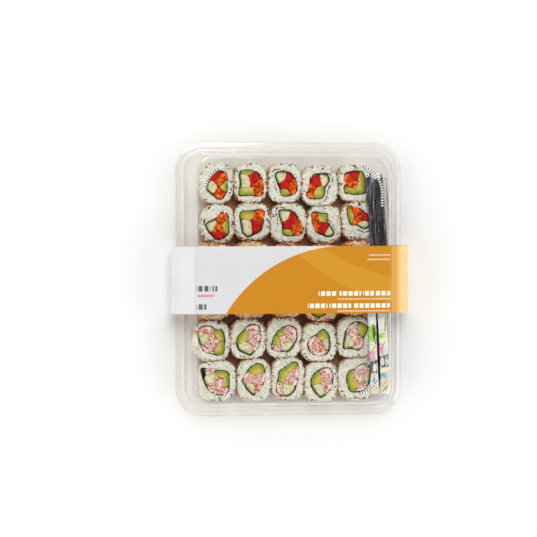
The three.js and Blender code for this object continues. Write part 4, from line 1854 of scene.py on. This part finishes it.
@dataclass
class WrappedSticks:
    """A pair of chopsticks in a tight black film wrap with crumpled ends."""

    node: str
    run: tuple[tuple[float, float, float], ...]
    seed: int
    seams: bool = False
    stations: int = 190
    around: int = 32
    crimp: float = 9.0
    side_limit: float = 100.0
    bend_soft: int = 21

    def build(self) -> None:
        """Make the wrap, its bare film ends and, where they show, the flat seams of film beside it."""
        low, high = in_millimetres(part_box(self.node))
        self.middle = float(low[2] + high[2]) / 2
        self.thick = float(high[2] - low[2])
        path = self._path()
        draft = Draft(f"{self.node}_wrap")
        points, faces = capped(self._wrap_rings(path))
        run = path[0, 1] - points[:, 1]
        draft.add(points, faces, self._black_film(), end=np.minimum(run, run.max() - run))
        if self.seams:
            self._add_seam(draft, path[4:-4], 1, 4.8, self._clear_film())
            self._add_seam(draft, path[8:-8], -1, 1.4, self._black_film())
        draft.finish("black_film", [self.node])

    def _path(self) -> Array:
        """Work out the middle line: x, y and width at each station."""
        knots = np.array(self.run)
        y = np.linspace(knots[0, 1], knots[-1, 1], self.stations)
        columns = [np.interp(-y, -knots[:, 1], knots[:, k]) for k in (0, 2)]
        window = np.ones(self.bend_soft) / self.bend_soft
        soft = [np.convolve(np.pad(row, self.bend_soft // 2, "edge"), window, "valid") for row in columns]
        return np.column_stack([soft[0], y, soft[1]])

    def _wrap_rings(self, path: Array) -> Array:
        """Draw the film tight over two sticks, creased lengthwise, crumpled and flat at its ends.

        Args:
            path: The middle line.

        Returns:
            The rings.
        """
        angles = np.arange(self.around) / self.around * FULL_TURN
        along = path[0, 1] - path[:, 1]
        folds, creases, fine = Ripple(self.seed, 9.0), Ripple(self.seed + 2, 2.6), Ripple(self.seed + 1, 2.4)
        across, up = squared(angles, 0.75, 0.7)
        rings = []
        for (x, y, width), run in zip(path, along):
            full = min(1.0, min(run, along[-1] - run) / self.crimp)
            thick = 1.2 + (self.thick - 1.4) * math.sqrt(full)
            groove = 1 - 0.34 * np.exp(-((across / 0.2) ** 2)) * full
            ring = np.column_stack([
                x + across * width / 2 * (0.92 + 0.08 * full),
                np.full(self.around, y),
                self.middle + up * groove * thick / 2,
            ])
            shake = 0.14 * folds.at(ring * [1, 0.22, 1]) + 0.2 * creases.at(ring * [1, 0.07, 1])
            shake += 0.7 * (1 - full) * fine.at(ring)
            ring[:, 2] += shake * np.where(np.abs(up) > 0.2, 1, 0.3)
            ring[:, 0] += (0.15 + 0.5 * (1 - full)) * fine.at(ring + 7)
            rings.append(ring)
        return np.array(rings)

    def _add_seam(self, draft: Draft, rows: Array, side: int, reach: float, film: Material) -> None:
        """Add a flat seam of film along one side of the wrap.

        Args:
            draft: The wrap's piece.
            rows: The middle line beside which it runs.
            side: 1 for the side toward +X, -1 for the other.
            reach: How far it stands out from the wrap.
            film: What it is made of.
        """
        wobble = Ripple(self.seed + 3, 12.0)
        sections = []
        for share, lift in ((0.0, 0.3), (0.5, -0.1), (1.0, -0.4), (1.0, -0.55), (0.5, -0.25), (0.0, 0.1)):
            edge = np.minimum(rows[:, 0] + side * (rows[:, 2] / 2 - 0.6 + reach * share), self.side_limit)
            line = np.column_stack([edge, rows[:, 1], np.full(len(rows), self.middle + lift)])
            line[:, 2] += 0.5 * wobble.at(line * [1, 0.5, 1])
            sections.append(line)
        rings = np.stack(sections, axis=1)
        points, faces = capped(rings[:, ::-1] if side > 0 else rings)
        draft.add(points, faces, film, end=np.full(len(points), self.crimp * 2))

    @staticmethod
    def _black_film() -> Material:
        """Make the black film: darker lengthwise streaks, pale lengthwise streaks of painted highlight and
        patches of painted lilac sheen, and bare crumpled ends painted with white glints.
        """
        name = "black_wrap_film"
        if name in bpy.data.materials:
            return bpy.data.materials[name]
        shader = Shader(name)
        look = Mottle(patch=5, grain=1.2, smooth=0.14, rough=0.3, relief=0.1)
        colour = look.apply(shader, paint(63, 61, 66), paint(29, 28, 31))
        black = shader.measure(shader.cloud((2.0, 60, 6)), 0.5, 0.4)
        colour = shader.mix(black, colour, paint(25, 23, 26))
        # Patches of painted lilac sheen.
        lilac_sheen_mask = shader.measure(shader.cloud((6, 14, 9)), 0.6, 0.68, (0, 0.55))
        colour = shader.mix(lilac_sheen_mask, colour, paint(129, 111, 154))
        # Pale lengthwise streaks: painted highlight on the film's creases.
        pale = shader.measure(shader.cloud((1.7, 46, 5), 3.0), 0.62, 0.7, (0, 0.85))
        colour = shader.mix(pale, colour, paint(172, 170, 179))
        # The bare crumpled ends: white painted glints over darker film.
        glint_lace = shader.measure(shader.cloud((1.3, 2.0, 2), 3.0), 0.44, 0.56)
        crumpled = shader.mix(glint_lace, paint(56, 49, 61), paint(231, 231, 231))
        wander = shader.sum("MULTIPLY", shader.sum("SUBTRACT", shader.cloud((3, 6, 4)), 0.5), 26.0)
        bare = shader.measure(shader.sum("ADD", shader.field("end"), wander), 6.5, 4.5)
        colour = shader.mix(bare, colour, crumpled)
        shader.set(Base_Color=colour, Coat_Weight=0.5, Coat_Roughness=0.08)
        return shader.material

    @staticmethod
    def _clear_film() -> Material:
        """Make the clear margin of the film, which greys what lies behind it."""
        return ClearFinish("clear_film_margin", (0.86, 0.86, 0.855), 0.1, wave=0.3).material()


@dataclass
class Sachet:
    """A tall printed film sachet with a crimped seal at each end.

    Each band of the print starts at a distance down from the sachet's +Y end.
    """

    node: str
    width: float
    bands: tuple[tuple[float, Colour], ...]
    marks: tuple[Mark, ...]
    seed: int
    lean: float = math.radians(2.4)
    length: float = 86.0
    seal: float = 6.0
    rows: int = 150
    around: int = 32

    def build(self) -> None:
        """Make the pillow, its ribbed seals and its print."""
        low, high = in_millimetres(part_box(self.node))
        centre = (low + high) / 2
        thick = float(high[2] - low[2])
        angles = np.arange(self.around) / self.around * FULL_TURN
        creases, crumple = Ripple(self.seed, 8.0), Ripple(self.seed + 1, 3.0)
        across, up = squared(angles, 0.8, 0.85)
        cosine, sine = math.cos(self.lean), math.sin(self.lean)
        turn = np.array([[cosine, -sine], [sine, cosine]])
        rings, down, aside = [], [], []
        for run in np.linspace(0, self.length, self.rows):
            from_end = min(run, self.length - run)
            full = min(1.0, max(0.0, (from_end - self.seal) / 15.0))
            height = 0.6 + (thick - 0.9) * math.sin(full * math.pi / 2)
            half = (self.width - 0.8 * full) / 2
            notch = 0.35 * abs((run * 0.9) % 1 - 0.5) if full == 0 else 0.0
            flat = np.column_stack([
                across * (half - notch * (np.abs(across) > 0.9)), np.full(self.around, self.length / 2 - run),
            ])
            ring = np.column_stack([flat @ turn.T + centre[:2], centre[2] + up * height / 2])
            ribs = 0.13 * math.cos(run / 1.15 * FULL_TURN) * (full == 0)
            wrinkle = 0.32 * creases.at(ring * [1.6, 0.8, 1]) + 0.16 * crumple.at(ring)
            wrinkle = wrinkle * (full > 0) * (1 - 0.35 * full)
            ring[:, 2] += ribs + wrinkle * np.where(np.abs(up) > 0.3, 1, 0.25)
            rings.append(ring)
            down.append(np.full(self.around, run))
            aside.append(across * half)
        draft = Draft(f"{self.node}_film")
        fields = {"down": np.concatenate(down), "across": np.concatenate(aside)}
        draft.add(*capped(np.array(rings)), self._print(), **fields)
        draft.finish("printed_film", [self.node])

    def _print(self) -> Material:
        """Make the printed film: plain bands and ovals of colour, with painted white glare and painted dark
        crease shade in patches over them.
        """
        shader = Shader(f"{self.node}_print")
        look = Mottle(patch=2.5, grain=0.9, smooth=0.1, rough=0.26, relief=0.16)
        look.apply(shader, WHITE, WHITE)
        ramp = wired(shader.tree, "ShaderNodeValToRGB", {})
        stops = ramp.color_ramp.elements
        stops.remove(stops[1])
        fade = 0.7 / self.length
        for i, (start, colour) in enumerate(self.bands):
            edge = start / self.length
            if i:
                stops.new(edge - fade).color = (*self.bands[i - 1][1], 1)
                stops.new(edge + fade).color = (*colour, 1)
            else:
                stops[0].position, stops[0].color = edge, (*colour, 1)
        down, across = shader.field("down"), shader.field("across")
        wander = shader.sum("MULTIPLY", shader.sum("SUBTRACT", shader.cloud((3, 5, 3)), 0.5), 4.0)
        slant = shader.sum("MULTIPLY", across, 0.18)
        drawn = shader.sum("ADD", down, shader.sum("ADD", wander, slant))
        feed(ramp, {"Fac": shader.sum("DIVIDE", drawn, self.length)})
        colour = ramp.outputs["Color"]
        for mark in self.marks:
            colour = shader.mix(shader.oval(down, across, mark), colour, mark.colour)
        # Painted white glare in patches, then painted dark shade for the creases.
        glare = shader.measure(shader.cloud((1.3, 4.5, 3), 3.0), 0.55, 0.66, (0, 0.75))
        colour = shader.mix(glare, colour, WHITE)
        crease_shade = shader.measure(shader.cloud((1.1, 3.2, 2), 3.0), 0.39, 0.33, (0, 0.6))
        colour = shader.mix(crease_shade, colour, paint(96, 100, 88))
        shader.set(Base_Color=colour, Coat_Weight=0.7, Coat_Roughness=0.06)
        return shader.material


# ------ the studio


@dataclass(frozen=True)
class Lamp:
    """A square soft lamp that points at the pack: its place and size in metres, its power in watts."""

    name: str
    place: tuple[float, float, float]
    size: float
    power: float
    colour: Colour = (1.0, 0.99, 0.97)

    def hang(self) -> None:
        """Make the lamp."""
        light = bpy.data.lights.new(self.name, "AREA")
        light.size = self.size
        light.energy = self.power
        light.color = self.colour
        holder = bpy.data.objects.new(self.name, light)
        holder.location = self.place
        holder.rotation_euler = (-Vector(self.place)).to_track_quat("-Z", "Y").to_euler()
        bpy.context.scene.collection.objects.link(holder)


@dataclass
class Studio:
    """The pale floor, the soft light and the camera."""

    sky: tuple[tuple[float, Colour], ...] = ((0.6, (1.0, 1.0, 1.0)), (0.93, (0.06, 0.06, 0.06)))
    sky_strength: float = 1.06
    lamps: tuple[Lamp, ...] = (
        Lamp("key_lamp", (-0.2, 2.0, 3.6), 1.8, 66.0),
        Lamp("left_lamp", (-2.4, -0.6, 1.6), 1.4, 14.0),
        Lamp("right_lamp", (2.4, -0.6, 1.6), 1.4, 14.0),
        Lamp("near_lamp", (0.0, -2.8, 2.2), 1.4, 3.0),
    )
    tilt_across: float = math.radians(10.3)
    tilt_along: float = math.radians(1.6)
    distance: float = 3.0
    frame_pixels: int = 537
    millimetres_per_pixel: float = 1.0
    middle_offset: tuple[float, float] = (-20.8, 10.7)
    flange_height: float = 14.0
    sensor: float = 36.0

    def build(self) -> None:
        """Set the floor, the light and the camera."""
        self._floor()
        self._lights()
        self._camera()

    def _floor(self) -> None:
        """Lay a plain white floor."""
        bpy.ops.mesh.primitive_plane_add(size=8)
        floor = bpy.context.object
        floor.name = "studio_floor"
        shader = Shader("studio_floor")
        look = Mottle(patch=400, grain=30, smooth=0.6, rough=0.75, relief=0.001)
        colour = look.apply(shader, (0.9, 0.9, 0.9), (0.885, 0.885, 0.885))
        shader.set(Base_Color=colour)
        floor.data.materials.append(shader.material)

    def _lights(self) -> None:
        """Hang large soft lamps well to the sides under a sky that is bright low down and dark overhead."""
        scene = bpy.context.scene
        world = bpy.data.worlds.new("studio")
        scene.world = world
        world.use_nodes = True
        tree = world.node_tree
        place = wired(tree, "ShaderNodeTexCoord", {}).outputs["Generated"]
        split = wired(tree, "ShaderNodeSeparateXYZ", {0: place})
        ramp = wired(tree, "ShaderNodeValToRGB", {"Fac": split.outputs["Z"]})
        for stop, (height, colour) in zip(ramp.color_ramp.elements, self.sky):
            stop.position, stop.color = height, (*colour, 1)
        sky = {"Color": ramp.outputs["Color"], "Strength": self.sky_strength}
        feed(tree.nodes["Background"], sky)
        for lamp in self.lamps:
            lamp.hang()
        scene.view_settings.view_transform = "Standard"

    def _camera(self) -> None:
        """Look down on the pack from a little to its left and its far end."""
        away = Vector((-math.tan(self.tilt_across), math.tan(self.tilt_along), 1)).normalized()
        up = (Vector((0, 1, 0)) - away * away.y).normalized()
        side = up.cross(away)
        target = Vector((self.middle_offset[0], self.middle_offset[1], self.flange_height)) * METRE
        lens = bpy.data.cameras.new("camera")
        lens.sensor_width = self.sensor
        width = self.frame_pixels * self.millimetres_per_pixel * METRE
        lens.lens = self.sensor * self.distance / width
        camera = bpy.data.objects.new("camera", lens)
        turn = Matrix((side, up, away)).transposed().to_4x4()
        camera.matrix_world = Matrix.Translation(target + away * self.distance) @ turn
        bpy.context.scene.collection.objects.link(camera)
        bpy.context.scene.camera = camera


GREEN, LEAF, OLIVE = paint(152, 219, 44), paint(47, 63, 19), paint(124, 114, 37)
CREAM, PINK, ROSE = paint(239, 239, 208), paint(239, 161, 189), paint(177, 54, 75)
SLATE, WHITE, BLUE = paint(54, 79, 77), paint(239, 239, 239), paint(110, 175, 208)
MINT, SAND, BARK = paint(239, 239, 231), paint(239, 222, 194), paint(131, 91, 70)
GREY, HAZE = paint(208, 208, 212), paint(239, 224, 234)


def build_wraps() -> None:
    """Make the two chopstick wraps and the two sachets."""
    WrappedSticks("chopsticks_a", ((78.2, 107, 8.2), (84.7, 36, 8.2), (86.4, -110, 9.4)), seed=401).build()
    WrappedSticks(
        "chopsticks_b", ((87.8, 106, 9.4), (93.6, 36, 8.8), (95.4, -112, 7)), seed=431, seams=True,
    ).build()
    left_bands = (
        (0, MINT), (17, GREEN), (34, CREAM), (43, PINK), (52.5, SLATE), (65, SAND), (69, WHITE), (78, SAND),
    )
    left_marks = (
        Mark((26, 1.4), (11, 1.7), LEAF, lean=5), Mark((11, 0.6), (5, 1.2), MINT),
        Mark((41, -0.5), (7, 0.45), ROSE, lean=-38), Mark((47, 2.6), (4, 1.5), CREAM),
        Mark((59.5, 0.2), (4.2, 1.9), MINT), Mark((60, 3.4), (6, 1.0), HAZE),
        Mark((72.5, -1.0), (3.4, 1.6), BLUE),
    )
    right_bands = (
        (0, WHITE), (16, MINT), (24.5, GREEN), (29.5, CREAM), (38, HAZE), (47.5, SLATE), (59.5, CREAM),
        (64.5, BLUE), (69.5, SAND), (83.5, WHITE),
    )
    right_marks = (
        Mark((16, 2.6), (8, 1.0), OLIVE, lean=-6), Mark((12, -2.5), (5, 1.6), GREY, lean=20, strength=0.5),
        Mark((27, 3.2), (3, 2.0), MINT), Mark((40.5, -2.6), (6.5, 2.3), PINK, lean=10),
        Mark((37.5, -1.0), (5.5, 0.5), ROSE, lean=-32), Mark((54, 1.6), (6, 1.1), GREY),
        Mark((53.5, -2.0), (4.2, 1.9), WHITE), Mark((53.5, -2.0), (2.2, 0.8), GREY),
        Mark((54, 4.2), (3.4, 1.3), WHITE), Mark((67, 2.6), (3.5, 2.4), GREY),
        Mark((76, -1.0), (5, 0.4), BARK, lean=-40), Mark((79, 2.0), (5, 0.4), BARK, lean=-40),
        Mark((81.5, -1.2), (4, 0.4), BARK, lean=-40),
    )
    Sachet("sachet_a", 8.4, left_bands, left_marks, seed=501).build()
    Sachet("sachet_b", 9.6, right_bands, right_marks, seed=521).build()


def main() -> None:
    """Build the looks in order."""
    logging.basicConfig(level=logging.INFO, format="%(name)s: %(message)s")
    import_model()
    Studio().build()
    Base().build()
    Liner().build()
    PlatterOfRolls().build()
    build_wraps()
    Lid().build()
    Sleeve().build()


if __name__ == "__main__":
    main()
